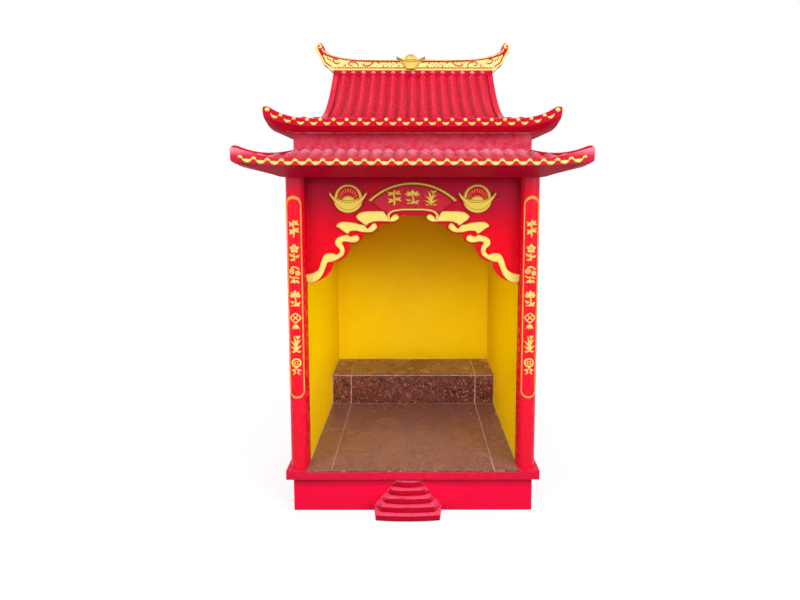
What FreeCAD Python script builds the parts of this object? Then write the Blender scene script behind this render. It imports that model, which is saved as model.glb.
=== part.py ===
import FreeCAD, Part
import math
import os
import re

from FreeCAD import Placement, Rotation, Vector

# Outdoor altar shrine, cast in sections: a stepped plinth, a niche with tiled floor and
# ledge, two round posts and two tiers of tiled roof with upturned corners.
# Millimetres. +X is the right of someone facing the niche, -Y is the front, the ground is Z = 0.

doc = FreeCAD.newDocument("AltarShrine")
sheet = doc.addObject("Spreadsheet::Sheet", "Sizes")

sizes = {
    # base
    "plinth_width": 1208,
    "plinth_height": 178,
    "slab_width": 1270,
    "slab_thickness": 49,
    # front steps, a stepped pyramid against the plinth
    "step_rise": 32.5,
    "step_tread": 20,
    "step_side_tread": 28,
    "step_top_reach": 11,
    "step_top_half_width": 60,
    "step_front_bow": 10,
    "step_side_lean": 0.15,
    "step_centre": -25,
    # niche
    "niche_width": 1062,
    "wall_thickness": 50,
    "back_wall_thickness": 40,
    "body_depth": 1246,
    "wall_height": 1457,
    "tile_thickness": 8,
    "tile_joint": 4,
    "centre_tile_width": 812,
    "ledge_height": 197,
    "ledge_depth": 335,
    # front
    "post_radius": 45,
    "post_spacing": 1144,
    "panel_setback": 20,
    "panel_thickness": 38,
    "arch_top_half_width": 59,
    "arch_top_height": 1272,
    "first_lobe_run": 103,
    "first_lobe_fall": 46,
    "second_lobe_run": 83,
    "second_lobe_fall": 48,
    "third_lobe_run": 67,
    "third_lobe_fall": 51,
    "fourth_lobe_run": 86,
    "fourth_lobe_fall": 88,
    "arch_spring_fall": 105,
    "board_thickness": 5,
    "board_seat_gap": 0.2,
    "board_width": 80,
    "board_height": 880,
    "board_arch": 44,
    "board_foot_height": 446,
    "border_width": 7,
    "border_relief": 2.5,
    "ribbon_relief": 10,
    # fan plaque and the medallions beside it
    "plaque_height": 1428,
    "plaque_half_width": 206,
    "plaque_side_fall": 81,
    "plaque_relief": 6,
    "plaque_foot_half_width": 127,
    "plaque_foot_fall": 147,
    "plaque_foot_arch": 26,
    "rim_width": 13.5,
    "rim_relief": 12,
    "medallion_height": 1355,
    "medallion_spacing": 632,
    "medallion_radius": 68,
    "medallion_ring_width": 17,
    "medallion_back_relief": 4,
    "medallion_ring_relief": 10,
    "medallion_boat_relief": 15,
    "medallion_pearl_radius": 29,
    "medallion_pearl_relief": 12,
    "medallion_pearl_drop": 16,
    # lower roof
    "lower_eave_width": 1575,
    "lower_eave_depth": 1730,
    "lower_run": 225,
    "lower_soffit_rise": 43,
    "lower_soffit_run": 170,
    "lower_fascia": 30,
    "lower_rise": 40,
    "lower_curve": 2.0,
    "lower_tip_lift": 54,
    "lower_tip_drop": 20,
    "lower_tip_curve": 1.5,
    "deck_thickness": 40,
    # frieze between the roofs
    "band_wall": 50,
    "band_height": 98,
    # upper roof
    "upper_eave_width": 1345,
    "upper_eave_depth": 1500,
    "upper_run": 214,
    "upper_soffit_rise": 13,
    "upper_soffit_run": 80,
    "upper_fascia": 33,
    "upper_rise": 372,
    "upper_curve": 2.37,
    "upper_tip_lift": 46,
    "upper_tip_drop": 38,
    "upper_tip_curve": 2.2,
    "slope_thickness": 40,
    "upper_deck_thickness": 25,
    "gable_setback": 30,
    "gable_thickness": 30,
    # rolls of tiles on the two main slopes
    "roll_pitch": 56.7,
    "roll_width": 48,
    "roll_crown_width": 18,
    "roll_height": 10,
    "roll_start": 32,
    "roll_fade": 78,
    "roll_sink": 6,
    # ribs and trims
    "rib_width": 30,
    "rib_height": 10,
    "rib_sink": 1.5,
    "rib_end_gap": 0.3,
    "trim_relief": 3,
    "trim_height": 23,
    "trim_foot": 7,
    "trim_end_inset": 18,
    # ridge
    "ridge_thickness": 56,
    "ridge_base_half": 450,
    "ridge_base_lift": -2,
    "ridge_height": 60,
    "ridge_tip_reach": 549,
    "ridge_tip_height": 153,
    "ridge_border_width": 9,
    "ridge_border_relief": 4,
    "ingot_centre": -8,
    "ingot_foot_half": 42,
    "ingot_foot_depth": 36,
    "ingot_lift": 4,
    "ingot_height": 92,
    "ingot_half_width": 84,
    "ingot_scoop_radius": 92,
    "ingot_dome_radius": 38,
    "ingot_dome_height": 56,
}

for row, (alias, value) in enumerate(sizes.items(), start=1):
    sheet.set(f"A{row}", alias.replace("_", " "))
    sheet.set(f"B{row}", str(value))
    sheet.setAlias(f"B{row}", alias)
doc.recompute()


def size(alias):
    return float(sheet.get(alias))


def rule(text):
    return re.sub(r"[a-z]+(_[a-z]+)+", r"Sizes.\g<0>", text)


# levels and places that several pieces share
slab_top = size("plinth_height") + size("slab_thickness")
soffit_level = slab_top + size("wall_height")
floor_top_rule = "plinth_height + slab_thickness"
soffit_rule = floor_top_rule + " + wall_height"
front_of_body = -size("body_depth") / 2
post_x = size("post_spacing") / 2
post_y = front_of_body + size("post_radius")
post_y_rule = "-body_depth / 2 + post_radius"
panel_front = post_y + size("panel_setback")
arch_top = slab_top + size("arch_top_height")
lower_base = soffit_level + size("lower_soffit_rise") + size("lower_fascia")
band_foot = lower_base + size("lower_rise")
band_top = band_foot + size("band_height")
upper_base = band_top + size("upper_soffit_rise") + size("upper_fascia")
apex = upper_base + size("upper_rise")
ridge_foot = apex + size("ridge_base_lift")


def box(label, lengths, corner):
    piece = doc.addObject("Part::Box", label)
    piece.Label = label
    for name, text in zip(("Length", "Width", "Height"), lengths):
        piece.setExpression(name, rule(text))
    for axis, text in zip("xyz", corner):
        piece.setExpression("Placement.Base." + axis, rule(text))
    return piece


def cylinder(label, radius, height, centre):
    piece = doc.addObject("Part::Cylinder", label)
    piece.Label = label
    piece.setExpression("Radius", rule(radius))
    piece.setExpression("Height", rule(height))
    for axis, text in zip("xyz", centre):
        piece.setExpression("Placement.Base." + axis, rule(text))
    return piece


def cut(label, base, tools):
    if len(tools) == 1:
        tool = tools[0]
    else:
        tool = doc.addObject("Part::MultiFuse", label + "_tool")
        tool.Shapes = tools
    piece = doc.addObject("Part::Cut", label)
    piece.Label = label
    piece.Base = base
    piece.Tool = tool
    return piece


def feature(label, shape):
    piece = doc.addObject("Part::Feature", label)
    piece.Label = label
    piece.Shape = shape
    return piece


# outlines are drawn in the plane of the sketch; a front view reads (x, z)
def line(start, end):
    return Part.LineSegment(Vector(*start, 0), Vector(*end, 0))


def polyline(points):
    return [line(start, end) for start, end in zip(points, points[1:])]


def smooth(points):
    curve = Part.BSplineCurve()
    curve.interpolate([Vector(x, y, 0) for x, y in points])
    return curve


# the same flowing line in short straight runs, for forms that need few facets
def facetted(points, runs_per_span=2):
    curve = smooth(points)
    count = runs_per_span * (len(points) - 1)
    first, last = curve.FirstParameter, curve.LastParameter
    ends = [curve.value(first + (last - first) * index / count) for index in range(count + 1)]
    return polyline([(end.x, end.y) for end in ends])


def arc(start, middle, end):
    return Part.Arc(Vector(*start, 0), Vector(*middle, 0), Vector(*end, 0))


# three-point arcs end to end: every second point is the middle of an arc
def arc_chain(points):
    return [arc(*points[index:index + 3]) for index in range(0, len(points) - 2, 2)]


def mirrored(points):
    return [(-x, y) for x, y in reversed(points)]


# a plate standing upright, drawn from the front, its back on the plane y = back_y
def relief(label, outline, back_y, thickness):
    sketch = doc.addObject("Sketcher::SketchObject", label + "_outline")
    sketch.Placement = Placement(Vector(0, back_y, 0), Rotation(Vector(1, 0, 0), 90))
    sketch.addGeometry(outline, False)
    piece = doc.addObject("Part::Extrusion", label)
    piece.Label = label
    piece.Base = sketch
    piece.DirMode = "Normal"
    piece.Solid = True
    piece.setExpression("LengthFwd", rule(thickness))
    return piece


# a level plate drawn from above
def plan_plate(label, outline, foot_rule, thickness):
    sketch = doc.addObject("Sketcher::SketchObject", label + "_outline")
    sketch.addGeometry(outline, False)
    sketch.setExpression("Placement.Base.z", rule(foot_rule))
    piece = doc.addObject("Part::Extrusion", label)
    piece.Label = label
    piece.Base = sketch
    piece.DirMode = "Normal"
    piece.Solid = True
    piece.setExpression("LengthFwd", rule(thickness))
    return piece


def planar_face(edges):
    return Part.Face(Part.Wire(Part.__sortEdges__(edges)))


def straight(start, end):
    return Part.makeLine(Vector(*start), Vector(*end))


# base: plinth, slab with a recess for the floor tiles, five low steps
def make_base():
    box("plinth", ("plinth_width", "plinth_width", "plinth_height"),
        ("-plinth_width / 2", "-plinth_width / 2", "0"))
    slab = box("base_slab_blank", ("slab_width", "slab_width", "slab_thickness"),
               ("-slab_width / 2", "-slab_width / 2", "plinth_height"))
    recess = box("floor_recess",
                 ("niche_width", "(slab_width + body_depth) / 2 - back_wall_thickness - ledge_depth",
                  "tile_thickness"),
                 ("-niche_width / 2", "-slab_width / 2", floor_top_rule + " - tile_thickness"))
    cut("base_slab", slab, [recess])


step_names = ["bottom", "second", "third", "fourth", "top"]


def make_steps():
    plinth_front = -size("plinth_width") / 2
    centre = size("step_centre")
    for tier, name in enumerate(step_names):
        above = len(step_names) - 1 - tier
        reach = size("step_top_reach") + above * size("step_tread")
        back_half = size("step_top_half_width") + above * size("step_side_tread")
        front_half = back_half - size("step_side_lean") * reach
        front = plinth_front - reach
        left, right = centre - front_half, centre + front_half
        outline = [
            line((centre - back_half, plinth_front), (left, front)),
            arc((left, front), (centre, front - size("step_front_bow")), (right, front)),
            line((right, front), (centre + back_half, plinth_front)),
            line((centre + back_half, plinth_front), (centre - back_half, plinth_front)),
        ]
        plan_plate(f"{name}_step", outline, f"{tier} * step_rise", "step_rise")


# niche: three walls, a masonry ledge and granite tiles in three bays
def make_walls():
    front_edge = post_y_rule
    run = "body_depth - post_radius"
    for side, sign, corner in (("left", "-", "-niche_width / 2 - wall_thickness"),
                               ("right", "", "niche_width / 2")):
        blank = box(f"{side}_wall_blank", ("wall_thickness", run, "wall_height"),
                    (corner, front_edge, floor_top_rule))
        socket = cylinder(f"{side}_wall_socket", "post_radius", "wall_height",
                          (f"{sign}post_spacing / 2", post_y_rule, floor_top_rule))
        cut(f"{side}_wall", blank, [socket])
    box("back_wall", ("niche_width", "back_wall_thickness", "wall_height"),
        ("-niche_width / 2", "body_depth / 2 - back_wall_thickness", floor_top_rule))


ledge_front = "body_depth / 2 - back_wall_thickness - ledge_depth"


def make_ledge():
    box("ledge_core",
        ("niche_width", "ledge_depth - tile_thickness", "ledge_height - tile_thickness"),
        ("-niche_width / 2", ledge_front + " + tile_thickness", floor_top_rule))


def tile_bay(bay):
    side_width = "(niche_width - centre_tile_width) / 2 - tile_joint"
    if bay == "centre":
        return "centre_tile_width", "-centre_tile_width / 2"
    if bay == "left":
        return side_width, "-niche_width / 2"
    return side_width, "centre_tile_width / 2 + tile_joint"


def make_tiles():
    surfaces = {
        "floor": ("(slab_width + body_depth) / 2 - back_wall_thickness - ledge_depth",
                  "tile_thickness", "-slab_width / 2", floor_top_rule + " - tile_thickness"),
        "riser": ("tile_thickness", "ledge_height - tile_thickness", ledge_front, floor_top_rule),
        "ledge": ("ledge_depth", "tile_thickness", ledge_front,
                  floor_top_rule + " + ledge_height - tile_thickness"),
    }
    for surface, (depth, height, front, foot) in surfaces.items():
        bays = []
        for bay in ("left", "centre", "right"):
            width, start = tile_bay(bay)
            bays.append(box(f"{surface}_tile_{bay}", (width, depth, height), (start, front, foot)))
        tiles = doc.addObject("Part::Compound", f"{surface}_tiles")
        tiles.Label = f"{surface}_tiles"
        tiles.Links = bays


# front: posts, the lobed arch panel and what is moulded on it
def make_posts():
    for side, sign in (("left", "-"), ("right", "")):
        cylinder(f"{side}_post", "post_radius", "wall_height",
                 (f"{sign}post_spacing / 2", post_y_rule, floor_top_rule))


# each lobe of the arch is a quarter ellipse: its run outward and its fall
def lobe_corners():
    x, z = size("arch_top_half_width"), arch_top
    corners = [(x, z)]
    for lobe in ("first", "second", "third", "fourth"):
        x, z = x + size(lobe + "_lobe_run"), z - size(lobe + "_lobe_fall")
        corners.append((x, z))
    corners.append((size("niche_width") / 2, z - size("arch_spring_fall")))
    return corners


def quarter_lobe(upper, lower, sign):
    run, fall = lower[0] - upper[0], upper[1] - lower[1]
    points = []
    for share in range(5):
        turn = 0.5 * math.pi * share / 4
        points.append((sign * (lower[0] - run * math.cos(turn)), upper[1] - fall * math.sin(turn)))
    return arc_chain(points)


def make_arch_panel():
    corners = lobe_corners()
    half = size("niche_width") / 2
    outline = [line((-corners[0][0], corners[0][1]), corners[0])]
    for sign in (1, -1):
        for upper, lower in zip(corners, corners[1:]):
            outline += quarter_lobe(upper, lower, sign)
    spring = corners[-1][1]
    outline += polyline([(half, spring), (half, soffit_level),
                         (-half, soffit_level), (-half, spring)])
    relief("arch_panel", outline, panel_front + size("panel_thickness"), "panel_thickness")


def board_outline(inset):
    half = size("board_width") / 2 - inset
    foot = slab_top + size("board_foot_height") + inset
    head = foot + size("board_height") - 2 * inset
    arch = size("board_arch") - inset / 2
    return [line((half, foot), (half, head)), arc((half, head), (0, head + arch), (-half, head)),
            line((-half, head), (-half, foot)), arc((-half, foot), (0, foot - arch), (half, foot))]


def outline_prism(outline, depth):
    face = Part.Face(Part.Wire([piece.toShape() for piece in outline]))
    face.rotate(Vector(0, 0, 0), Vector(1, 0, 0), 90)
    return face.extrude(Vector(0, -depth, 0))


def shell_around_post(inner, outer):
    foot = slab_top
    height = size("wall_height")
    tube = Part.makeCylinder(outer, height, Vector(0, 0, foot))
    return tube.cut(Part.makeCylinder(inner, height, Vector(0, 0, foot)))


def make_post_boards():
    seat = size("post_radius") + size("board_seat_gap")
    face = seat + size("board_thickness")
    reach = 2 * face
    plate = shell_around_post(seat, face).common(outline_prism(board_outline(0), reach))
    ring = outline_prism(board_outline(0), reach).cut(
        outline_prism(board_outline(size("border_width")), reach))
    border = shell_around_post(face, face + size("border_relief")).common(ring)
    for side, sign in (("left", -1), ("right", 1)):
        for kind, shape in (("board", plate), ("board_border", border)):
            piece = feature(f"{side}_{kind}", shape)
            piece.Placement = Placement(Vector(sign * post_x, post_y, 0), Rotation())


# folded ribbons that follow the lobes, drawn for the left half from the middle of the arch top
ribbon_upper = [(-282, -6), (-272, 10), (-243, 20), (-198, 22), (-157, 22), (-145, 14), (-131, -6),
                (-120, -13), (-108, -3), (-92, 5), (-77, 0), (-75, -13), (-90, -27), (-116, -33),
                (-157, -29), (-194, -29), (-210, -35), (-224, -46), (-235, -44), (-255, -29)]
ribbon_middle = [(-378, -52), (-368, -39), (-337, -34), (-305, -36), (-272, -44), (-243, -49),
                 (-224, -59), (-207, -43), (-190, -40), (-184, -53), (-194, -68), (-215, -81),
                 (-243, -85), (-280, -81), (-303, -82), (-314, -93), (-337, -82), (-366, -64)]
ribbon_lower = [(-272, -103), (-270, -117), (-284, -130), (-313, -132), (-341, -130), (-354, -135),
                (-352, -147), (-341, -163), (-344, -188), (-362, -209), (-391, -225), (-415, -231),
                (-427, -237), (-436, -270), (-452, -303), (-481, -324), (-509, -333), (-521, -333),
                (-523, -295), (-501, -287), (-472, -274), (-462, -254), (-448, -213), (-436, -196),
                (-411, -189), (-386, -194), (-370, -189), (-359, -175), (-363, -159), (-382, -142),
                (-385, -122), (-370, -104), (-341, -95), (-313, -100)]


def make_ribbons():
    loops = []
    for drawn in (ribbon_upper, ribbon_middle, ribbon_lower):
        points = [(x, arch_top + z) for x, z in drawn]
        loops += arc_chain(points + points[:1])
    left = relief("left_ribbon", loops, panel_front, "ribbon_relief")
    right = doc.addObject("Part::Mirroring", "right_ribbon")
    right.Label = "right_ribbon"
    right.Source = left
    right.Normal = Vector(1, 0, 0)


# fan-shaped plaque over the arch, its top rim a band of one circle
def make_plaque():
    half, fall = size("plaque_half_width"), size("plaque_side_fall")
    head = slab_top + size("plaque_height")
    radius = (half * half + fall * fall) / (2 * fall)
    centre, turn = head - radius, math.asin(half / radius)
    inner = radius - size("rim_width")
    edge = inner - size("board_seat_gap")
    foot_half = size("plaque_foot_half_width")
    foot_end = head - size("plaque_foot_fall")
    foot_peak = foot_end + size("plaque_foot_arch")

    def on_fan(reach, share):
        return reach * math.sin(turn * share), centre + reach * math.cos(turn * share)
    relief("fan_plaque",
           [arc(on_fan(edge, -1), on_fan(edge, 0), on_fan(edge, 1)),
            line(on_fan(edge, 1), (foot_half, foot_end)),
            arc((foot_half, foot_end), (0, foot_peak), (-foot_half, foot_end)),
            line((-foot_half, foot_end), on_fan(edge, -1))],
           panel_front, "plaque_relief")
    relief("fan_top_rim",
           [arc(on_fan(radius, -1), on_fan(radius, 0), on_fan(radius, 1)),
            line(on_fan(radius, 1), on_fan(inner, 1)),
            arc(on_fan(inner, 1), on_fan(inner, 0), on_fan(inner, -1)),
            line(on_fan(inner, -1), on_fan(radius, -1))],
           panel_front, "rim_relief")
    top_end = foot_end - size("board_seat_gap")
    low_half, low_end = foot_half - size("rim_width") / 2, foot_end - size("rim_width")
    low_peak = foot_peak - 1.25 * size("rim_width")
    relief("fan_foot_rim",
           [arc((-foot_half, top_end), (0, foot_peak - size("board_seat_gap")), (foot_half, top_end)),
            line((foot_half, top_end), (low_half, low_end)),
            arc((low_half, low_end), (0, low_peak), (-low_half, low_end)),
            line((-low_half, low_end), (-foot_half, top_end))],
           panel_front, "rim_relief")


# ingot medallions beside the plaque: a ring, and a boat whose horns reach over it
boat_rim = [(-90, 30), (-68, 6), (-35, -11), (0, -17), (35, -11), (68, 6), (90, 30)]
boat_keel = [(95, 24), (80, 0), (66, -26), (36, -58), (0, -69), (-36, -58), (-66, -26), (-80, 0),
             (-95, 24)]


def disc(radius, thickness):
    sides = 28
    corners = [(radius * math.cos(2 * math.pi * index / sides),
                radius * math.sin(2 * math.pi * index / sides)) for index in range(sides)]
    return outline_prism(polyline(corners + corners[:1]), thickness)


def make_medallions():
    radius = size("medallion_radius")
    ring = disc(radius, size("medallion_ring_relief"))
    ring = ring.cut(disc(radius - size("medallion_ring_width"), size("medallion_ring_relief")))
    back = disc(radius, size("medallion_back_relief"))
    boat = outline_prism(facetted(boat_rim) + [line(boat_rim[-1], boat_keel[0])]
                         + facetted(boat_keel) + [line(boat_keel[-1], boat_rim[0])],
                         size("medallion_boat_relief"))
    pearl = disc(size("medallion_pearl_radius"), size("medallion_pearl_relief"))
    pearl.translate(Vector(0, 0, -size("medallion_pearl_drop")))
    shape = ring.fuse([back, boat, pearl]).removeSplitter()
    for side, sign in (("left", -1), ("right", 1)):
        piece = feature(f"{side}_ingot_medallion", shape)
        piece.Placement = Placement(Vector(sign * size("medallion_spacing") / 2, panel_front,
                                           slab_top + size("medallion_height")), Rotation())


# roofs: every slope is a curved sheet whose corners lift towards the tips; it is laid out in rows
# from the eave inwards, with places that crowd towards the tips, and its ends lie in the hip planes
tip_places = [0, 0.1, 0.23, 0.4, 0.6, 0.8, 1]
skirt_rows = 4
slope_rows = 8


class Roof:
    def __init__(self, name, foot):
        self.name = name
        self.foot = foot
        self.run = size(name + "_run")
        self.soffit_rise = size(name + "_soffit_rise")
        self.soffit_run = size(name + "_soffit_run")
        self.fascia = size(name + "_fascia")
        self.rise = size(name + "_rise")
        self.curve = size(name + "_curve")
        self.lift = size(name + "_tip_lift")
        self.drop = size(name + "_tip_drop")
        self.tip_curve = size(name + "_tip_curve")
        self.width = size(name + "_eave_width")
        self.depth = size(name + "_eave_depth")
        self.slope_run = self.run if name == "lower" else self.depth / 2

    def corner_share(self, along):
        return max(0, 1 - along / self.run) ** self.tip_curve

    def profile(self, inward):
        eave = self.foot + self.soffit_rise + self.fascia
        return eave + self.rise * (inward / self.slope_run) ** self.curve

    def top(self, along, inward):
        lift = self.lift * self.corner_share(along) * max(0, 1 - inward / self.run)
        return self.profile(inward) + lift

    def underside(self, along, inward):
        outward = max(0, 1 - inward / self.soffit_run)
        return self.foot + outward * (self.soffit_rise + self.drop * self.corner_share(along))


def sheet_over(roof, height, half, front, reach, rows):
    grid = []
    for index in range(rows + 1):
        inward = reach * index / rows
        offsets = [place * (roof.run - 0.75 * inward) for place in tip_places]
        across = [half - inward - offset for offset in offsets]
        row = [Vector(-x, front + inward, height(half - x, inward)) for x in across]
        row += [Vector(x, front + inward, height(half - x, inward)) for x in reversed(across)]
        grid.append(row)
    return grid


def facets(grid):
    faces = []
    for near, far in zip(grid, grid[1:]):
        for index in range(len(near) - 1):
            a, b, c, d = near[index], near[index + 1], far[index + 1], far[index]
            middle = index == len(tip_places) - 1
            if middle:
                corners = [[a, b, c, d]]
            elif index < len(tip_places):
                corners = [[a, b, c], [a, c, d]]
            else:
                corners = [[a, b, d], [b, c, d]]
            faces += [Part.Face(Part.makePolygon(points + points[:1])) for points in corners]
    return faces


def flat_face(points):
    return Part.Face(Part.makePolygon(points + points[:1]))


# one slope from the eave to its inner line, between two hip planes, facing -Y
def skirt(roof, half, front, reach):
    top = sheet_over(roof, roof.top, half, front, reach, skirt_rows)
    rising = sheet_over(roof, roof.underside, half, front, roof.soffit_run, 1)
    step, foot = roof.soffit_run, roof.foot
    faces = facets(top) + facets(rising)
    inner_foot = [Vector(sign * (half - reach), front + reach, foot) for sign in (-1, 1)]
    for side, sign in ((0, -1), (-1, 1)):
        rising_edge = [row[side] for row in rising]
        top_edge = [row[side] for row in top]
        faces.append(flat_face(top_edge + [inner_foot[side]] + rising_edge[::-1]))
    faces.append(flat_face(rising[-1] + inner_foot[::-1]))
    faces.append(flat_face(top[-1] + inner_foot[::-1]))
    faces.append(flat_face(top[0] + rising[0][::-1]))
    shell = Part.makeShell(faces)
    shell.sewShape()
    solid = Part.makeSolid(shell)
    if solid.Volume < 0:
        solid.reverse()
    return solid


def turned(shape, quarter_turns):
    copy = shape.copy()
    copy.rotate(Vector(0, 0, 0), Vector(0, 0, 1), 90 * quarter_turns)
    return copy


lower = Roof("lower", soffit_level)
upper = Roof("upper", band_top)
# quarter turns from the front: the right side is one turn on, seen from above
side_turns = {"front": 0, "right": 1, "back": 2, "left": 3}


def make_lower_roof():
    along_front = skirt(lower, lower.width / 2, -lower.depth / 2, lower.run)
    along_side = skirt(lower, lower.depth / 2, -lower.width / 2, lower.run)
    for side, turns in side_turns.items():
        shape = along_front if turns % 2 == 0 else along_side
        feature(f"lower_{side}_slope", turned(shape, turns))
    box("lower_deck", ("lower_eave_width - 2 * lower_run", "lower_eave_depth - 2 * lower_run",
                       "deck_thickness"),
        ("lower_run - lower_eave_width / 2", "lower_run - lower_eave_depth / 2", soffit_rule))


def make_band():
    outer = ("lower_eave_width - 2 * lower_run", "lower_eave_depth - 2 * lower_run")
    height = ("lower_soffit_rise + lower_fascia + lower_rise + band_height - deck_thickness")
    corner = ("lower_run - lower_eave_width / 2", "lower_run - lower_eave_depth / 2")
    foot = soffit_rule + " + deck_thickness"
    blank = box("band_blank", outer + (height,), corner + (foot,))
    hollow = box("band_hollow", (outer[0] + " - 2 * band_wall", outer[1] + " - 2 * band_wall", height),
                 (corner[0] + " + band_wall", corner[1] + " + band_wall", foot))
    cut("roof_band", blank, [hollow])


# the side view of the main slope, drawn in the plane x = 0
def profile_line(roof, rise):
    start, end = roof.run, roof.depth / 2
    points = []
    for index in range(slope_rows + 1):
        inward = start + (end - start) * index / slope_rows
        points.append(Vector(0, inward - roof.depth / 2, roof.profile(inward) + rise))
    return points


# from the inner line of the eave skirt up to the ridge, an even sheet
def main_slope(roof, half):
    face = flat_face(profile_line(roof, 0) + profile_line(roof, -size("slope_thickness"))[::-1])
    face.translate(Vector(-half, 0, 0))
    return face.extrude(Vector(2 * half, 0, 0))


# a roll of tiles fades in above the eave and runs up to the ridge board; across, it is a low
# crown with sloping sides, and its foot is sunk into the slope
def tile_roll(x):
    start, fade = size("roll_start"), size("roll_fade")
    end = upper.depth / 2 - size("ridge_thickness") / 2 - size("rib_end_gap")
    rise_end = start + fade
    skirt_places = [upper.run * index / skirt_rows for index in range(skirt_rows)]
    slope_places = [point.y + upper.depth / 2 for point in profile_line(upper, 0)]
    places = [rise_end] + [place for place in skirt_places + slope_places
                           if rise_end + 1 < place < end - 1] + [end]
    sections = []
    for across, lift in ((-size("roll_width") / 2, 0), (-size("roll_crown_width") / 2, 1),
                         (size("roll_crown_width") / 2, 1), (size("roll_width") / 2, 0)):
        points = [(start, -size("roll_sink") / 2)]
        points += [(inward, lift * (size("roll_height") + 1) - 1) for inward in places]
        points += [(inward, -size("roll_sink")) for inward in reversed(places)]
        corners = [Vector(x + across, inward - upper.depth / 2, upper.profile(inward) + rise)
                   for inward, rise in points]
        sections.append(Part.makePolygon(corners + corners[:1]))
    return Part.makeLoft(sections, True, True)


def tile_rolls():
    room = upper.width / 2 - upper.run - size("rib_width") - size("roll_width") / 2
    count = int(room / size("roll_pitch"))
    return [tile_roll(index * size("roll_pitch")) for index in range(-count, count + 1)]


# the triangle under the verge, with a sill out to the side slope below it
def gable_wall():
    foot = band_top + size("upper_deck_thickness")
    sill_level = upper.profile(upper.run)
    rising = profile_line(upper, -size("slope_thickness"))
    falling = [Vector(0, -point.y, point.z) for point in rising[-2::-1]]
    y = upper.depth / 2 - upper.run
    corners = rising + falling
    if corners[0].z - foot > 0.01:
        corners = [Vector(0, -y, foot)] + corners + [Vector(0, y, foot)]
    face = flat_face(corners)
    wall = face.extrude(Vector(-size("gable_thickness"), 0, 0))
    setback = size("gable_setback")
    sill = face.extrude(Vector(setback, 0, 0))
    sill = sill.common(Part.makeBox(setback, 2 * y, sill_level - foot, Vector(0, -y, foot)))
    return wall.fuse(sill).removeSplitter()


def make_upper_roof():
    half_gable = upper.width / 2 - upper.run
    front = skirt(upper, upper.width / 2, -upper.depth / 2, upper.run)
    front = front.fuse(main_slope(upper, half_gable)).removeSplitter().fuse(tile_rolls())
    side = skirt(upper, upper.depth / 2, -upper.width / 2, upper.run)
    slopes = []
    for name, turns in side_turns.items():
        shape = front if turns % 2 == 0 else side
        slopes.append(feature(f"upper_{name}_slope", turned(shape, turns)))
    half_deck = "(upper_eave_width / 2 - upper_run)"
    box("upper_deck", (f"2 * {half_deck}", "upper_eave_depth - 2 * upper_run", "upper_deck_thickness"),
        (f"-{half_deck}", "upper_run - upper_eave_depth / 2",
         soffit_rule + " + lower_soffit_rise + lower_fascia + lower_rise + band_height"))
    wall = gable_wall()
    wall.translate(Vector(half_gable - size("gable_setback"), 0, 0))
    feature("right_gable", wall)
    feature("left_gable", turned(wall, 2))
    return slopes


# ribs along the hips and down the verges; across a hip, a crown stands over two feet that follow
# the slopes on either side
def rib_section(roof, inward):
    half, height, sink = size("rib_width") / 2, size("rib_height"), size("rib_sink")
    across = Vector(1, 1, 0).normalize() * half
    centre = Vector(roof.width / 2 - inward, inward - roof.depth / 2, 0)
    side = across.x
    valley = roof.top(inward, inward) - sink
    foot = roof.top(inward + side, inward - side) - sink
    shoulder = max(valley, foot) + sink + height / 3
    left, right, middle = centre - across, centre + across, centre

    def at(point, z):
        return Vector(point.x, point.y, z)
    crown = valley + sink + height
    return Part.makePolygon([
        at(left, shoulder), at(centre - across / 2, crown), at(centre + across / 2, crown),
        at(right, shoulder), at(right, foot), at(middle, valley), at(left, foot),
        at(left, shoulder)])


# the rib of the front right corner, from the inner corner out to the tip
def hip_rib(roof):
    sections = []
    tip_gap = size("rib_width") / 2
    steps = 5
    for index in range(steps + 1):
        inward = tip_gap + (roof.run - tip_gap) * index / steps
        sections.append(rib_section(roof, inward))
    return Part.makeLoft(sections, True, True)


def four_corners(shape):
    flipped = shape.mirror(Vector(0, 0, 0), Vector(1, 0, 0))
    return [shape, flipped, turned(shape, 2), turned(flipped, 2)]


# sunk a little into the slopes and cut back to them, so that a rib lies close on their facets
def make_hip_ribs(roof):
    slopes = [doc.getObject(f"{roof.name}_{side}_slope").Shape for side in ("front", "right")]
    seated = hip_rib(roof).cut(slopes)
    rib = max(seated.Solids, key=lambda solid: solid.Volume)
    feature(f"{roof.name}_hip_ribs", Part.makeCompound(four_corners(rib)))


# a strip on each edge of the main slopes, from the eave skirt to the ridge
def make_verge_ribs():
    half_gable = upper.width / 2 - upper.run
    width, height = size("rib_width"), size("rib_height")
    strip = flat_face(profile_line(upper, 0) + profile_line(upper, height)[::-1])
    strip.translate(Vector(half_gable - width, 0, 0))
    strip = strip.extrude(Vector(width, 0, 0))
    front_right = strip.cut([ridge_blank()])
    feature("verge_ribs", Part.makeCompound(four_corners(front_right)))


# gilt strips on the four fascias, following the sweep of the eave
trim_stations = [-1, -0.92, -0.82, -0.68, 0, 0.68, 0.82, 0.92, 1]


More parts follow.
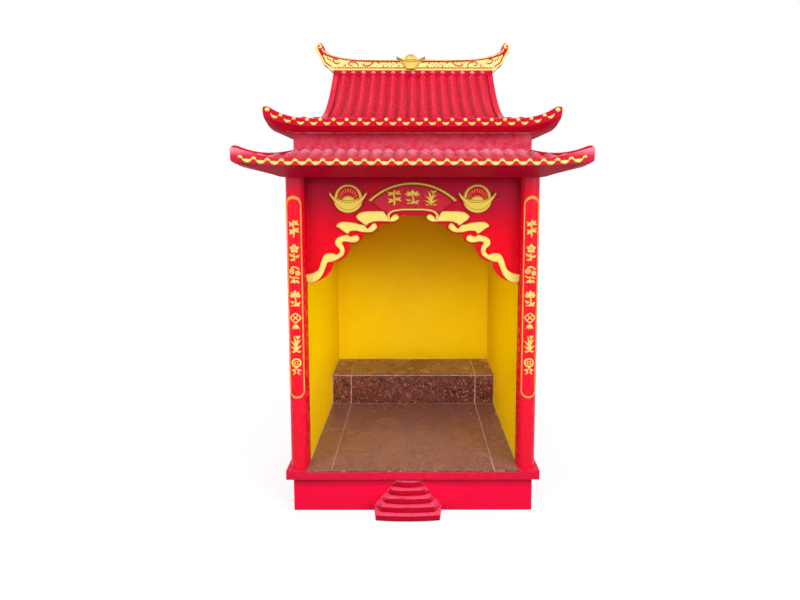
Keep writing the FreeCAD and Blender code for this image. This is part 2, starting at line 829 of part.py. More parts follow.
def make_trims(roof, along_top):
    pieces = []
    relief_depth = size("trim_relief")
    for side, turns in side_turns.items():
        across = roof.width if turns % 2 == 0 else roof.depth
        front = (roof.depth if turns % 2 == 0 else roof.width) / -2
        half = across / 2
        end = half - size("trim_end_inset")

        def level(x):
            foot, head = roof.underside(half - abs(x), 0), roof.top(half - abs(x), 0)
            fascia = roof.fascia
            return foot + size("trim_foot") * (head - foot) / fascia if along_top else (
                foot + size("trim_foot"))
        foot_points = [(share * end, level(share * end)) for share in trim_stations]
        head_points = [(x, z + size("trim_height")) for x, z in foot_points]
        outline = polyline(foot_points + head_points[::-1] + foot_points[:1])
        face = planar_face([piece.toShape() for piece in outline])
        face.rotate(Vector(0, 0, 0), Vector(1, 0, 0), 90)
        strip = face.extrude(Vector(0, -relief_depth, 0))
        strip.translate(Vector(0, front, 0))
        pieces.append(turned(strip, turns))
    feature(f"{roof.name}_eave_trim", Part.makeCompound(pieces))


# ridge: a board that sweeps out and curls up into a scroll at each end
def ridge_outline():
    base, foot = size("ridge_base_half"), ridge_foot
    reach, tip = size("ridge_tip_reach"), size("ridge_tip_height")
    top = foot + size("ridge_height")
    flare = [(base, foot), (base + 35, foot + 35), (reach - 43, foot + 45)]
    neck = [(reach - 43, foot + 45), (reach - 32, foot + 69), (reach - 12, foot + 98),
            (reach, foot + 127)]
    scroll = [(reach, foot + 127), (reach - 3, foot + tip - 9), (reach - 17, foot + tip),
              (reach - 32, foot + tip - 8), (reach - 39, foot + tip - 23), (reach - 36, foot + tip - 40)]
    sweep = [(reach - 36, foot + tip - 40), (reach - 83, foot + 87), (reach - 135, foot + 74),
             (reach - 232, foot + 63), (reach - 372, top), (0, top)]
    curves = []
    for points in (flare, neck, scroll, sweep):
        curves += facetted(points)
        curves += facetted(mirrored(points))
    curves.append(line((-base, foot), (base, foot)))
    return curves


# the sunk field of the board, inside the gilt border
def ridge_field():
    base, foot, edge = size("ridge_base_half"), ridge_foot, size("ridge_border_width")
    reach, tip = size("ridge_tip_reach"), size("ridge_tip_height")
    top = foot + size("ridge_height") - edge
    flare = [(base - 4, foot + edge + 3), (base + 26, foot + 42), (reach - 55, foot + 56)]
    neck = [(reach - 55, foot + 56), (reach - 49, foot + 76), (reach - 41, foot + tip - 56)]
    sweep = [(reach - 41, foot + tip - 56), (reach - 83, foot + 87 - edge),
             (reach - 135, foot + 74 - edge), (reach - 232, foot + 63 - edge),
             (reach - 372, top), (0, top)]
    curves = []
    for points in (flare, neck, sweep):
        curves += facetted(points)
        curves += facetted(mirrored(points))
    curves.append(line((4 - base, foot + edge + 3), (base - 4, foot + edge + 3)))
    return curves


def ridge_blank():
    half = size("ridge_thickness") / 2
    depth = ridge_foot - upper.profile(upper.depth / 2 - half) + 3
    width = 2 * size("ridge_base_half")
    saddle = Part.makeBox(width, 2 * half, depth, Vector(-width / 2, -half, ridge_foot - depth))
    face = planar_face([piece.toShape() for piece in ridge_outline()])
    face.rotate(Vector(0, 0, 0), Vector(1, 0, 0), 90)
    board = face.extrude(Vector(0, -2 * half, 0))
    board.translate(Vector(0, half, 0))
    return board.fuse(saddle).removeSplitter()


def make_ridge(slopes):
    board = ridge_blank().cut([piece.Shape for piece in slopes])
    feature("ridge_board", board)
    relief_depth = size("ridge_border_relief")
    outer, inner = (planar_face([piece.toShape() for piece in curves]).extrude(Vector(0, 0, relief_depth))
                    for curves in (ridge_outline(), ridge_field()))
    front = outer.cut(inner)
    front.rotate(Vector(0, 0, 0), Vector(1, 0, 0), 90)
    front.translate(Vector(0, -size("ridge_thickness") / 2, 0))
    feature("ridge_border", Part.makeCompound([front, turned(front, 2)]))


def oval(half_x, half_y, z):
    sides = 20
    turns = [2 * math.pi * index / sides for index in range(sides)]
    corners = [Vector(half_x * math.cos(turn), half_y * math.sin(turn), z) for turn in turns]
    return Part.makePolygon(corners + corners[:1])


def make_ridge_ingot():
    foot, height = ridge_foot + size("ingot_lift"), size("ingot_height")
    foot_half, depth = size("ingot_foot_half"), size("ingot_foot_depth")
    spread = size("ingot_half_width") - foot_half
    waist = 0.65 * height
    boat = Part.makeLoft([oval(foot_half + widen * spread, bulge * depth, foot + share * height)
                          for share, widen, bulge in ((0, 0, 1), (0.33, 0.24, 1.28),
                                                      (0.65, 0.67, 1.5), (1, 1, 1.28))],
                         True, True)
    scoop_radius = size("ingot_scoop_radius")
    scoop = disc(scoop_radius, 4 * depth)
    scoop.translate(Vector(0, 2 * depth, foot + waist + scoop_radius))
    dome_radius, dome_foot = size("ingot_dome_radius"), foot + size("ingot_dome_height")
    levels = [math.radians(angle) for angle in (-40, 0, 25, 50, 72)]
    dome = Part.makeLoft([oval(dome_radius * math.cos(level), dome_radius * math.cos(level),
                               dome_foot + dome_radius * math.sin(level)) for level in levels],
                         True, True)
    shape = boat.cut(scoop).fuse(dome).removeSplitter()
    shape.translate(Vector(size("ingot_centre"), 0, 0))
    board = doc.getObject("ridge_board").Shape
    border = doc.getObject("ridge_border").Shape
    feature("ridge_ingot", shape.cut([board, border]))


make_base()
make_steps()
make_walls()
make_ledge()
make_tiles()
make_posts()
make_arch_panel()
make_post_boards()
make_ribbons()
make_plaque()
make_medallions()
make_lower_roof()
make_band()
upper_slopes = make_upper_roof()
doc.recompute()
make_hip_ribs(lower)
make_hip_ribs(upper)
make_verge_ribs()
make_trims(lower, False)
make_trims(upper, True)
make_ridge(upper_slopes)
make_ridge_ingot()
doc.recompute()

nodes = [
    "plinth", "base_slab", "bottom_step", "second_step", "third_step", "fourth_step", "top_step",
    "floor_tiles", "riser_tiles", "ledge_tiles", "ledge_core", "left_wall", "right_wall", "back_wall",
    "left_post", "right_post", "arch_panel", "left_board", "right_board", "left_board_border",
    "right_board_border", "left_ribbon", "right_ribbon", "fan_plaque", "fan_top_rim", "fan_foot_rim",
    "left_ingot_medallion", "right_ingot_medallion", "lower_front_slope", "lower_right_slope",
    "lower_back_slope", "lower_left_slope", "lower_deck", "lower_hip_ribs", "lower_eave_trim",
    "roof_band", "upper_front_slope", "upper_back_slope", "upper_right_slope", "upper_left_slope",
    "upper_deck", "left_gable", "right_gable", "upper_hip_ribs", "verge_ribs", "upper_eave_trim",
    "ridge_board", "ridge_border", "ridge_ingot",
]

faults = [item.Name for item in doc.Objects if {"Invalid", "Error"} & set(item.State)]
for label in nodes:
    shape = doc.getObject(label).Shape
    if shape.isNull() or not shape.isValid() or not shape.Solids:
        faults.append(label)
if faults:
    raise SystemExit("not sound: " + ", ".join(faults))

os.makedirs("parts", exist_ok=True)
for label in nodes:
    piece = doc.getObject(label)
    piece.Shape.exportStep(f"parts/{label}.step")
    bounds = piece.Shape.BoundBox
    print(f"{label}: {len(piece.Shape.Solids)} solids, {piece.Shape.Volume / 1e6:.2f} litres, "
          f"z {bounds.ZMin:.0f} to {bounds.ZMax:.0f}")
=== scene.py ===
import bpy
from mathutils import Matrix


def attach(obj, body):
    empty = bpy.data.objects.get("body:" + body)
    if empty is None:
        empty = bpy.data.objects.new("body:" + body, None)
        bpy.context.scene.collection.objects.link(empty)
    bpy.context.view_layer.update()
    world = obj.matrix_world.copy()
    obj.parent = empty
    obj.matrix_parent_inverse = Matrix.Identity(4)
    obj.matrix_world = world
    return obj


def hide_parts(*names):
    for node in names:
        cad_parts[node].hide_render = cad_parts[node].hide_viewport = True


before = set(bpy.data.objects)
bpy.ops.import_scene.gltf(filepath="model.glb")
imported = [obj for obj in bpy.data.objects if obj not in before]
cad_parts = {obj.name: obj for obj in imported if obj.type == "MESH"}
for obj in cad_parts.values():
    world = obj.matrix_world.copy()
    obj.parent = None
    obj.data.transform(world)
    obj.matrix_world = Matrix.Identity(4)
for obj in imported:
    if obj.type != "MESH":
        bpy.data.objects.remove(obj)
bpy.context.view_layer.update()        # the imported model: every node is in metres, in the row frame

import math
import random

import bmesh
import bpy
from mathutils import Vector

# Outdoor altar shrine: enamelled cast cement with gold relief, a yellow niche and granite tiles.
# Sizes are written in millimetres and turned to metres where a mesh is made.
random.seed(7)


def mm(value):
    return value / 1000


def hexToLinear(code):
    channels = [int(code[i:i + 2], 16) / 255 for i in (1, 3, 5)]
    return [c / 12.92 if c <= 0.04045 else ((c + 0.055) / 1.055) ** 2.4 for c in channels] + [1]


def perMetre(size):
    return 1000 / size   # a texture scale from the size of one grain in millimetres


def smoothStep(low, high, value):
    share = min(1, max(0, (value - low) / (high - low)))
    return share * share * (3 - 2 * share)


# camera and studio

cameraLook = {
    "place": (6, -3244, 1604),      # mm, fitted to the photograph
    "pitchDown": 5.38,              # degrees
    "yawRight": 0.16,
    "lens": 24.54,                  # mm on the sensor's width
    "sensorWidth": 36,
    "shift": (-0.0194, -0.0683),
    "farthest": 100,                # m
}


def makeCamera():
    data = bpy.data.cameras.new("photoCamera")
    data.lens = cameraLook["lens"]
    data.sensor_width = cameraLook["sensorWidth"]
    data.shift_x, data.shift_y = cameraLook["shift"]
    data.clip_end = cameraLook["farthest"]
    camera = bpy.data.objects.new("photoCamera", data)
    camera.location = [mm(v) for v in cameraLook["place"]]
    camera.rotation_euler = (math.radians(90 - cameraLook["pitchDown"]), 0,
                             -math.radians(cameraLook["yawRight"]))
    bpy.context.scene.collection.objects.link(camera)
    bpy.context.scene.camera = camera


def setInputs(node, inputs):
    # a number, a hex colour, a socket, or a node whose first output in use is linked
    for name, value in inputs.items():
        if isinstance(value, bpy.types.Node):
            value = next(output for output in value.outputs if output.enabled)
        if isinstance(value, bpy.types.NodeSocket):
            node.id_data.links.new(value, node.inputs[name])
        else:
            colour = isinstance(value, str)
            node.inputs[name].default_value = hexToLinear(value) if colour else value


def addNode(tree, kind, inputs=None, **settings):
    # in a Mix node that mixes colours, input 0 is the share and 6 and 7 are the colours
    node = tree.nodes.new("ShaderNode" + kind)
    for name, value in settings.items():
        setattr(node, name, value)
    setInputs(node, inputs or {})
    return node


def newMaterial(name, base=None):
    # a new paint or a copy of another, with the place on the shrine that its patterns follow
    material = base.copy() if base else bpy.data.materials.new(name)
    material.name = name
    material.use_nodes = True
    tree = material.node_tree
    place = addNode(tree, "TexCoord").outputs["Object"]
    return material, tree, tree.nodes["Principled BSDF"], place


def paintOver(shader, share, colour):
    # lays another colour over what the paint has so far
    under = shader.inputs["Base Color"].links[0].from_socket
    both = addNode(shader.id_data, "Mix", {0: share, 6: under, 7: colour}, data_type="RGBA")
    setInputs(shader, {"Base Color": both})


studio = {
    "floorSize": 60,                # m
    "floorTint": "#767472",         # as the object's light meets it
    "floorRoughness": 0.9,
    "floorGlow": (0.80, 1.0),       # what the camera sees of the floor beside the shrine and far
    "glowRange": (1.6, 3.6),        # m from the middle, where the one turns into the other
    "floorShade": 0.26,             # what the light on it adds, and the shadow takes away
    "worldFill": 0.22,
    "lamps": {
        # name: place in m, size in m, watts, aim in m, spread in degrees, whether gloss mirrors it
        "frontSoftbox": ((0, -5.4, 4.1), 2.6, 72, (0, 0, 1.0), 180, False),
        "leftFrontSoftbox": ((-4.0, -4.4, 2.4), 2.8, 182, (0, 0, 0.9), 180, False),
        "rightFrontSoftbox": ((4.0, -4.4, 2.4), 2.8, 224, (0, 0, 0.9), 180, False),
        "nicheSoftbox": ((0, -5.4, 1.35), 0.8, 1.0, (0, 0.3, 0.72), 10, False),
        "nicheFromLeft": ((-2.6, -4.8, 1.1), 0.6, 0.5, (0.53, 0, 0.75), 12, False),
        "nicheFromRight": ((2.6, -4.8, 1.1), 0.6, 0.85, (-0.53, 0, 0.75), 12, False),
        "ridgeSpot": ((-0.7, -0.1, 5.2), 0.45, 22, (0, 0, 2.2), 180, True),
        "topSoftbox": ((0.5, -1.2, 5.4), 2.4, 60, (0, 0, 1.8), 180, False),
        "backFill": ((0, 5.2, 2.9), 3.6, 170, (0, 0, 1.2), 180, False),
    },
}


def seenDirectly(tree):
    # 1 for what the camera, a reflection or a clear surface shows, 0 for light on its way
    rays = addNode(tree, "LightPath").outputs
    share = rays["Is Camera Ray"]
    for other in ("Is Glossy Ray", "Is Transmission Ray"):
        share = addNode(tree, "Math", {0: share, 1: rays[other]}, operation="MAXIMUM")
    return share


def makeStudio():
    look = studio
    bpy.ops.mesh.primitive_plane_add(size=look["floorSize"])
    floor = bpy.context.object
    floor.name = "studioFloor"
    material, tree, shader, place = newMaterial("paleStudioFloor")
    setInputs(shader, {"Base Color": look["floorTint"], "Roughness": look["floorRoughness"]})
    away = addNode(tree, "VectorMath", {0: place}, operation="LENGTH").outputs["Value"]
    level = addNode(tree, "MapRange", {
        "Value": away, "From Min": look["glowRange"][0], "From Max": look["glowRange"][1],
        "To Min": look["floorGlow"][0], "To Max": look["floorGlow"][1]})
    glow = addNode(tree, "Emission", {"Strength": level})
    shaded = addNode(tree, "BsdfDiffuse", {"Color": [look["floorShade"]] * 3 + [1]})
    both = addNode(tree, "AddShader", {0: glow, 1: shaded})
    pick = addNode(tree, "MixShader", {0: seenDirectly(tree), 1: shader, 2: both})
    setInputs(tree.nodes["Material Output"], {"Surface": pick})
    floor.data.materials.append(material)

    world = bpy.data.worlds.new("studioWorld")
    bpy.context.scene.world = world
    world.use_nodes = True
    tree = world.node_tree
    fill = tree.nodes["Background"]
    setInputs(fill, {"Color": (1, 1, 1, 1), "Strength": look["worldFill"]})
    white = addNode(tree, "Background", {"Color": (1, 1, 1, 1), "Strength": 1})
    pick = addNode(tree, "MixShader", {0: seenDirectly(tree), 1: fill, 2: white})
    setInputs(tree.nodes["World Output"], {"Surface": pick})

    for name, (place, size, watts, aim, spread, mirrored) in look["lamps"].items():
        data = bpy.data.lights.new(name, "AREA")
        data.size = size
        data.energy = watts
        data.spread = math.radians(spread)
        lamp = bpy.data.objects.new(name, data)
        lamp.location = place
        lamp.visible_glossy = mirrored
        lamp.rotation_euler = (Vector(aim) - Vector(place)).to_track_quat("-Z", "Y").to_euler()
        bpy.context.scene.collection.objects.link(lamp)
    bpy.context.scene.view_settings.view_transform = "Standard"


makeCamera()
makeStudio()
print("camera, floor and lamps are in place")


# materials

enamelLooks = {
    # colour, its deeper patches, a pale tint of dust and painted sheen, how much of it lies on
    # upright faces and on those that look up, roughness, specular level, size of the patches in mm
    "frontEnamel": ("#E4071F", "#D2051C", "#F08A9A", 0.0, 0.10, 0.25, 0.10, 240),
    "postEnamel": ("#E8092E", "#DC0728", "#F08A9A", 0.0, 0.10, 0.24, 0.20, 200),
    "boardEnamel": ("#F50728", "#E90623", "#F08A9A", 0.0, 0.05, 0.22, 0.22, 160),
    "plinthEnamel": ("#FA0840", "#EA0738", "#F49AAE", 0.0, 0.28, 0.26, 0.12, 300),
    # the steps: a strong pale painted highlight on the treads, and a darker red on the risers as
    # painted shade
    "stepEnamelLitAndShaded": ("#BC0422", "#A4021C", "#F4557A", 0.0, 6.0, 0.24, 0.12, 200),
    "slabEnamel": ("#E00A3A", "#CC0A33", "#E88098", 0.04, 0.18, 0.26, 0.14, 260),
    "tileEnamel": ("#D20A34", "#B8092A", "#EC8797", 0.0, 0.05, 0.25, 0.08, 180),
    "eaveEnamel": ("#D20B36", "#BE0A2C", "#F2A2B2", 0.04, 0.34, 0.26, 0.20, 90),
    # the band: pale painted sheen in patches on its upright faces
    "bandEnamel": ("#C40E3C", "#A80A2C", "#F09AAE", 0.26, 0.4, 0.27, 0.20, 45),
    "plaqueEnamel": ("#C4122E", "#A40A24", "#F09AAE", 0.06, 0.2, 0.27, 0.20, 60),
    "soffitEnamel": ("#E81044", "#C00A34", "#E81044", 0.0, 0.0, 0.5, 0.05, 160),
    # bead enamel: nearly all pale, a painted highlight
    "highlightBeadEnamel": ("#DC3450", "#C82442", "#FBE0E6", 0.5, 1.0, 0.22, 0.30, 60),
}
enamelCoat = {
    # mm across one grain
    "dustGrain": 35, "orangePeel": 6, "brushSwell": 70,
    "peelHeight": 0.5, "swellHeight": 4,    # mm
    "glossSpread": (-0.07, 0.13),           # how far the roughness strays
}


def enamelOnCement(name):
    # alkyd gloss enamel brushed over cast cement: deep even red, a clear top gloss that shows
    # the studio as soft pale streaks, a slight orange peel, and dust with painted sheen where faces
    # look up
    colour, deeper, pale, sideSheen, topSheen, roughness, specular, patch = enamelLooks[name]
    coat = enamelCoat
    material, tree, shader, place = newMaterial(name)
    patches = addNode(tree, "TexNoise", {"Vector": place, "Scale": perMetre(patch), "Detail": 4})
    paint = addNode(tree, "Mix", {0: patches, 6: deeper, 7: colour}, data_type="RGBA")
    normal = addNode(tree, "NewGeometry").outputs["Normal"]
    upward = addNode(tree, "SeparateXYZ", {0: normal}).outputs["Z"]
    facing = addNode(tree, "MapRange", {
        "Value": upward, "From Min": 0.15, "From Max": 1, "To Min": sideSheen, "To Max": topSheen})
    dust = addNode(tree, "TexNoise", {
        "Vector": place, "Scale": perMetre(coat["dustGrain"]), "Detail": 6, "Roughness": 0.7})
    patchy = addNode(tree, "MapRange", {
        "Value": dust, "From Min": 0.38, "From Max": 0.72, "To Min": 0.12})
    dustAndSheen = addNode(tree, "Math", {0: facing, 1: patchy}, operation="MULTIPLY")
    smoother, rougher = coat["glossSpread"]
    gloss = addNode(tree, "MapRange", {
        "Value": dust, "To Min": roughness + smoother, "To Max": roughness + rougher})
    peel = addNode(tree, "TexNoise", {"Vector": place, "Scale": perMetre(coat["orangePeel"])})
    swell = addNode(tree, "TexNoise", {
        "Vector": place, "Scale": perMetre(coat["brushSwell"]), "Detail": 2})
    wavy = addNode(tree, "Bump", {
        "Height": swell, "Strength": 0.35, "Distance": mm(coat["swellHeight"])})
    skin = addNode(tree, "Bump", {
        "Height": peel, "Strength": 0.25, "Distance": mm(coat["peelHeight"]), "Normal": wavy})
    setInputs(shader, {"Base Color": paint, "Roughness": gloss, "Normal": skin,
                       "Specular IOR Level": specular})
    # the pale tint on faces that look up is partly dust and partly painted sheen
    paintOver(shader, dustAndSheen, pale)
    return material


paintedLightLooks = {
    # the paint it changes, its other tone, where that begins and is full in mm, how much of it:
    # painted shade under the eaves, painted shadow under the slab, painted sheen on the wings and
    # post tops
    "panelPaintedShade": ("frontEnamel", "#98142E", (1360, 1600), 0.85),
    "bandPaintedShade": ("bandEnamel", "#8E0A28", (1830, 1893), 0.8),
    "plinthPaintedShadow": ("plinthEnamel", "#8E0424", (110, 172), 0.85),
    "wingPaintedSheen": ("eaveEnamel", "#F6B4C6", (1762, 1812), 0.6),
    "postPaintedShadeAndSheen": ("postEnamel", "#B23452", (1600, 1700), 0.7),
}
paintedLightPatch = 150                  # mm


def enamelWithPaintedLight(name):
    # the same enamel with a painted tone laid over it towards the top, as listed above
    base, paintedTone, (low, high), depth = paintedLightLooks[name]
    material, tree, shader, place = newMaterial(name, enamels[base])
    level = addNode(tree, "SeparateXYZ", {0: place}).outputs["Z"]
    rise = addNode(tree, "MapRange", {"Value": level, "From Min": mm(low), "From Max": mm(high)},
                   interpolation_type="SMOOTHSTEP")
    cloud = addNode(tree, "TexNoise", {
        "Vector": place, "Scale": perMetre(paintedLightPatch), "Detail": 5})
    ragged = addNode(tree, "MapRange", {
        "Value": cloud, "From Min": 0.3, "From Max": 0.7, "To Min": depth - 0.25,
        "To Max": depth + 0.15})
    share = addNode(tree, "Math", {0: rise, 1: ragged}, operation="MULTIPLY", use_clamp=True)
    paintOver(shader, share, paintedTone)
    return material


# pitch in mm, as the tile rolls have it; narrowness is a power that keeps the painted shade to the
# gutter
rollLook = {"pitch": 56.7, "gutterPaintedShade": "#8E0719", "depth": 0.7, "narrowness": 2.2}


def rollEnamelWithPaintedShade(across):
    # the tile enamel with painted shade laid dark in the gutters between the rolls
    look = rollLook
    material, tree, shader, place = newMaterial("rollEnamel" + across, enamels["tileEnamel"])
    gutters = addNode(tree, "TexWave", {
        "Vector": place, "Scale": math.pi / 10 * perMetre(look["pitch"])},
        wave_type="BANDS", bands_direction=across, wave_profile="SIN").outputs["Fac"]
    narrow = addNode(tree, "Math", {0: gutters, 1: look["narrowness"]}, operation="POWER")
    share = addNode(tree, "Math", {0: narrow, 1: look["depth"]}, operation="MULTIPLY")
    paintOver(shader, share, look["gutterPaintedShade"])
    return material


wallPaintLook = {
    "colour": "#FEDA00", "deeper": "#F8CC00",
    "mottle": 190, "rollerNap": 4, "napHeight": 0.6,    # mm
    # the painted faces lie inside these planes, in mm
    "insideX": 531.8, "insideY": 583.8, "insideZ": 1684.8, "mouthY": -519,
    "roughness": (0.27, 0.48),      # outside and inside the niche
}


def yellowNichePaint(outside):
    # satin emulsion rolled on cement render: warm chrome yellow, faint roller stipple, hardly
    # any shine; the same blocks are red enamel outside the niche
    look = wallPaintLook
    material, tree, shader, place = newMaterial("yellowNichePaint", outside)
    apart = addNode(tree, "SeparateXYZ", {0: place}).outputs
    sideways = addNode(tree, "Math", {0: apart["X"]}, operation="ABSOLUTE")
    tests = [addNode(tree, "Math", {0: value, 1: mm(look[limit])}, operation=test)
             for value, limit, test in ((sideways, "insideX", "LESS_THAN"),
                                        (apart["Y"], "insideY", "LESS_THAN"),
                                        (apart["Z"], "insideZ", "LESS_THAN"),
                                        (apart["Y"], "mouthY", "GREATER_THAN"))]
    inside = tests[0]
    for test in tests[1:]:
        inside = addNode(tree, "Math", {0: inside, 1: test}, operation="MULTIPLY")
    mottle = addNode(tree, "TexNoise", {
        "Vector": place, "Scale": perMetre(look["mottle"]), "Detail": 5})
    yellow = addNode(tree, "Mix", {0: mottle, 6: look["deeper"], 7: look["colour"]},
                     data_type="RGBA")
    paintOver(shader, inside, yellow)
    red, satin = look["roughness"]
    gloss = addNode(tree, "MapRange", {"Value": inside, "To Min": red, "To Max": satin})
    nap = addNode(tree, "TexNoise", {
        "Vector": place, "Scale": perMetre(look["rollerNap"]), "Detail": 3})
    stipple = addNode(tree, "Bump", {
        "Height": nap, "Strength": 0.2, "Distance": mm(look["napHeight"])})
    setInputs(shader, {"Roughness": gloss, "Normal": stipple})
    return material


goldLooks = {
    # front colour, painted shade for its upper and under sides and hollows, roughness
    "reliefGold": ("#E8D06C", "#946418", 0.26),
    "garlandGold": ("#EFDC78", "#B08230", 0.30),
    "ridgeGold": ("#F6E28A", "#B98736", 0.34),
    "medallionGold": ("#DCBE4C", "#86601A", 0.22),
    "ingotGold": ("#EED468", "#7E4210", 0.20),
    "creaseShadeGold": ("#B4661E", "#5E300C", 0.26),
    "lineGold": ("#E6A04A", "#A5661C", 0.30),
    "grooveShadeGold": ("#A58828", "#6F4A10", 0.36),
}
goldCoat = {"brushGrain": 16, "brushHeight": 1, "specular": 0.35, "glossSpread": (-0.05, 0.15)}


def goldPaint(name):
    # pale gold enamel brushed over the relief: creamy yellow where it faces out, painted shade in
    # brown where it looks up or down, with soft gloss and no mirror
    front, side, roughness = goldLooks[name]
    material, tree, shader, place = newMaterial(name)
    normal = addNode(tree, "NewGeometry").outputs["Normal"]
    upward = addNode(tree, "SeparateXYZ", {0: normal}).outputs["Z"]
    level = addNode(tree, "Math", {0: upward}, operation="ABSOLUTE")
    worn = addNode(tree, "TexNoise", {
        "Vector": place, "Scale": perMetre(goldCoat["brushGrain"]), "Detail": 5,
        "Roughness": 0.65})
    # painted shade: brown mixed in where the gold faces up or down
    turned = addNode(tree, "MapRange", {
        "Value": level, "From Min": 0.2, "From Max": 0.95, "To Max": 0.85})
    uneven = addNode(tree, "MapRange", {
        "Value": worn, "From Min": 0.45, "From Max": 0.8, "To Max": 0.22})
    share = addNode(tree, "Math", {0: turned, 1: uneven}, operation="ADD", use_clamp=True)
    paint = addNode(tree, "Mix", {0: share, 6: front, 7: side}, data_type="RGBA")
    smoother, rougher = goldCoat["glossSpread"]
    gloss = addNode(tree, "MapRange", {
        "Value": worn, "To Min": roughness + smoother, "To Max": roughness + rougher})
    brush = addNode(tree, "Bump", {
        "Height": worn, "Strength": 0.3, "Distance": mm(goldCoat["brushHeight"])})
    setInputs(shader, {"Base Color": paint, "Roughness": gloss, "Normal": brush,
                       "Specular IOR Level": goldCoat["specular"]})
    return material


graniteLook = {
    "brown": "#874B3B", "redBrown": "#6A2E28", "black": "#241513", "pale": "#A87F70",
    "dust": "#C8A0A2",
    # the pale film on the floor and ledge is partly dust and partly painted sheen
    "film": 0.28,                   # how much of it lies on the floor and the ledge
    "chip": 8,                      # mm, drawn a little coarse so that it shows
    "patch": 170,
    "mica": 0.84, "feldspar": 0.93,     # the chips above these shares
    "roughness": (0.22, 0.32),
}


def polishedGranite():
    # polished red-brown granite tile: chips of rust, black mica and pale feldspar under a
    # glassy polish that mirrors the walls faintly, and a pale film of dust and painted sheen on top
    look = graniteLook
    material, tree, shader, place = newMaterial("polishedGranite")
    chips = addNode(tree, "TexVoronoi", {"Vector": place, "Scale": perMetre(look["chip"])})
    pick = addNode(tree, "SeparateColor", {0: chips.outputs["Color"]}).outputs
    cloud = addNode(tree, "TexNoise", {
        "Vector": place, "Scale": perMetre(look["patch"]), "Detail": 5})
    ground = addNode(tree, "Mix", {0: cloud, 6: look["redBrown"], 7: look["brown"]},
                     data_type="RGBA")
    rust = addNode(tree, "MapRange", {"Value": pick["Red"], "From Min": 0.4, "To Max": 0.5})
    mica, feldspar = (addNode(tree, "Math", {0: pick[channel], 1: look[chip]},
                              operation="GREATER_THAN")
                      for channel, chip in (("Green", "mica"), ("Blue", "feldspar")))
    normal = addNode(tree, "NewGeometry").outputs["Normal"]
    upward = addNode(tree, "SeparateXYZ", {0: normal}).outputs["Z"]
    graniteDustAndSheen = addNode(tree, "MapRange", {"Value": upward, "From Min": 0.5, "To Max": look["film"]})
    smoother, rougher = look["roughness"]
    polish = addNode(tree, "MapRange", {"Value": cloud, "To Min": smoother, "To Max": rougher})
    setInputs(shader, {"Base Color": ground, "Roughness": polish})
    for share, colour in ((rust, "redBrown"), (mica, "black"), (feldspar, "pale"),
                          (graniteDustAndSheen, "dust")):
        paintOver(shader, share, look[colour])
    return material


plainLooks = {
    # darker and lighter shade, size of their patches in mm, its detail, roughness
    # white cement grout, wiped by hand: chalky and a little grey where it is stained
    "whiteGrout": ("#9C8880", "#EFE6DE", 25, 4, 0.85),
    # crimson painted shadow round the gilt work, drawn as a thin outline
    "crimsonPaintedShadow": ("#7A0818", "#A80E26", 20, 2, 0.4),
    # rose-red enamel let down with gold, brushed thin over the gilding to draw the curls
    "roseCurlPaint": ("#A01A26", "#C23C38", 12, 2, 0.38),
    # bare cast cement, hidden under the tiles
    "plainCement": ("#6F6A64", "#B0AAA2", 8, 8, 0.9),
}


def plainFinish(name):
    darker, lighter, patch, detail, roughness = plainLooks[name]
    material, tree, shader, place = newMaterial(name)
    uneven = addNode(tree, "TexNoise", {
        "Vector": place, "Scale": perMetre(patch), "Detail": detail})
    tint = addNode(tree, "Mix", {0: uneven, 6: darker, 7: lighter}, data_type="RGBA")
    setInputs(shader, {"Base Color": tint, "Roughness": roughness})
    return material


enamels = {name: enamelOnCement(name) for name in enamelLooks}
rollEnamels = {across: rollEnamelWithPaintedShade(across) for across in ("X", "Y")}
enamels.update({name: enamelWithPaintedLight(name) for name in paintedLightLooks})
golds = {name: goldPaint(name) for name in goldLooks}
nichePaint = yellowNichePaint(enamels["frontEnamel"])
granite = polishedGranite()
plain = {name: plainFinish(name) for name in plainLooks}

# the cast pieces that stay as they are; a finer piece takes the place of each of the others
nodeFinishes = [
    # the posts carry painted shade and painted sheen towards their tops
    (enamels["postPaintedShadeAndSheen"], ["left_post", "right_post"]),
    (enamels["tileEnamel"], ["upper_deck", "left_gable", "right_gable", "ridge_board"]),
    (nichePaint, ["left_wall", "right_wall", "back_wall", "lower_deck"]),
    (granite, ["floor_tiles", "riser_tiles", "ledge_tiles"]),
    (plain["plainCement"], ["ledge_core"]),
]
for material, nodes in nodeFinishes:
    for node in nodes:
        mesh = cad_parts[node].data
        mesh.materials.clear()
        mesh.materials.append(material)
        for polygon in mesh.polygons:
            polygon.material_index = 0
print("materials are made and the plain cast pieces are painted")


# meshes

# degrees past which an edge is left sharp
reliefCrease, castCrease = 50, 35


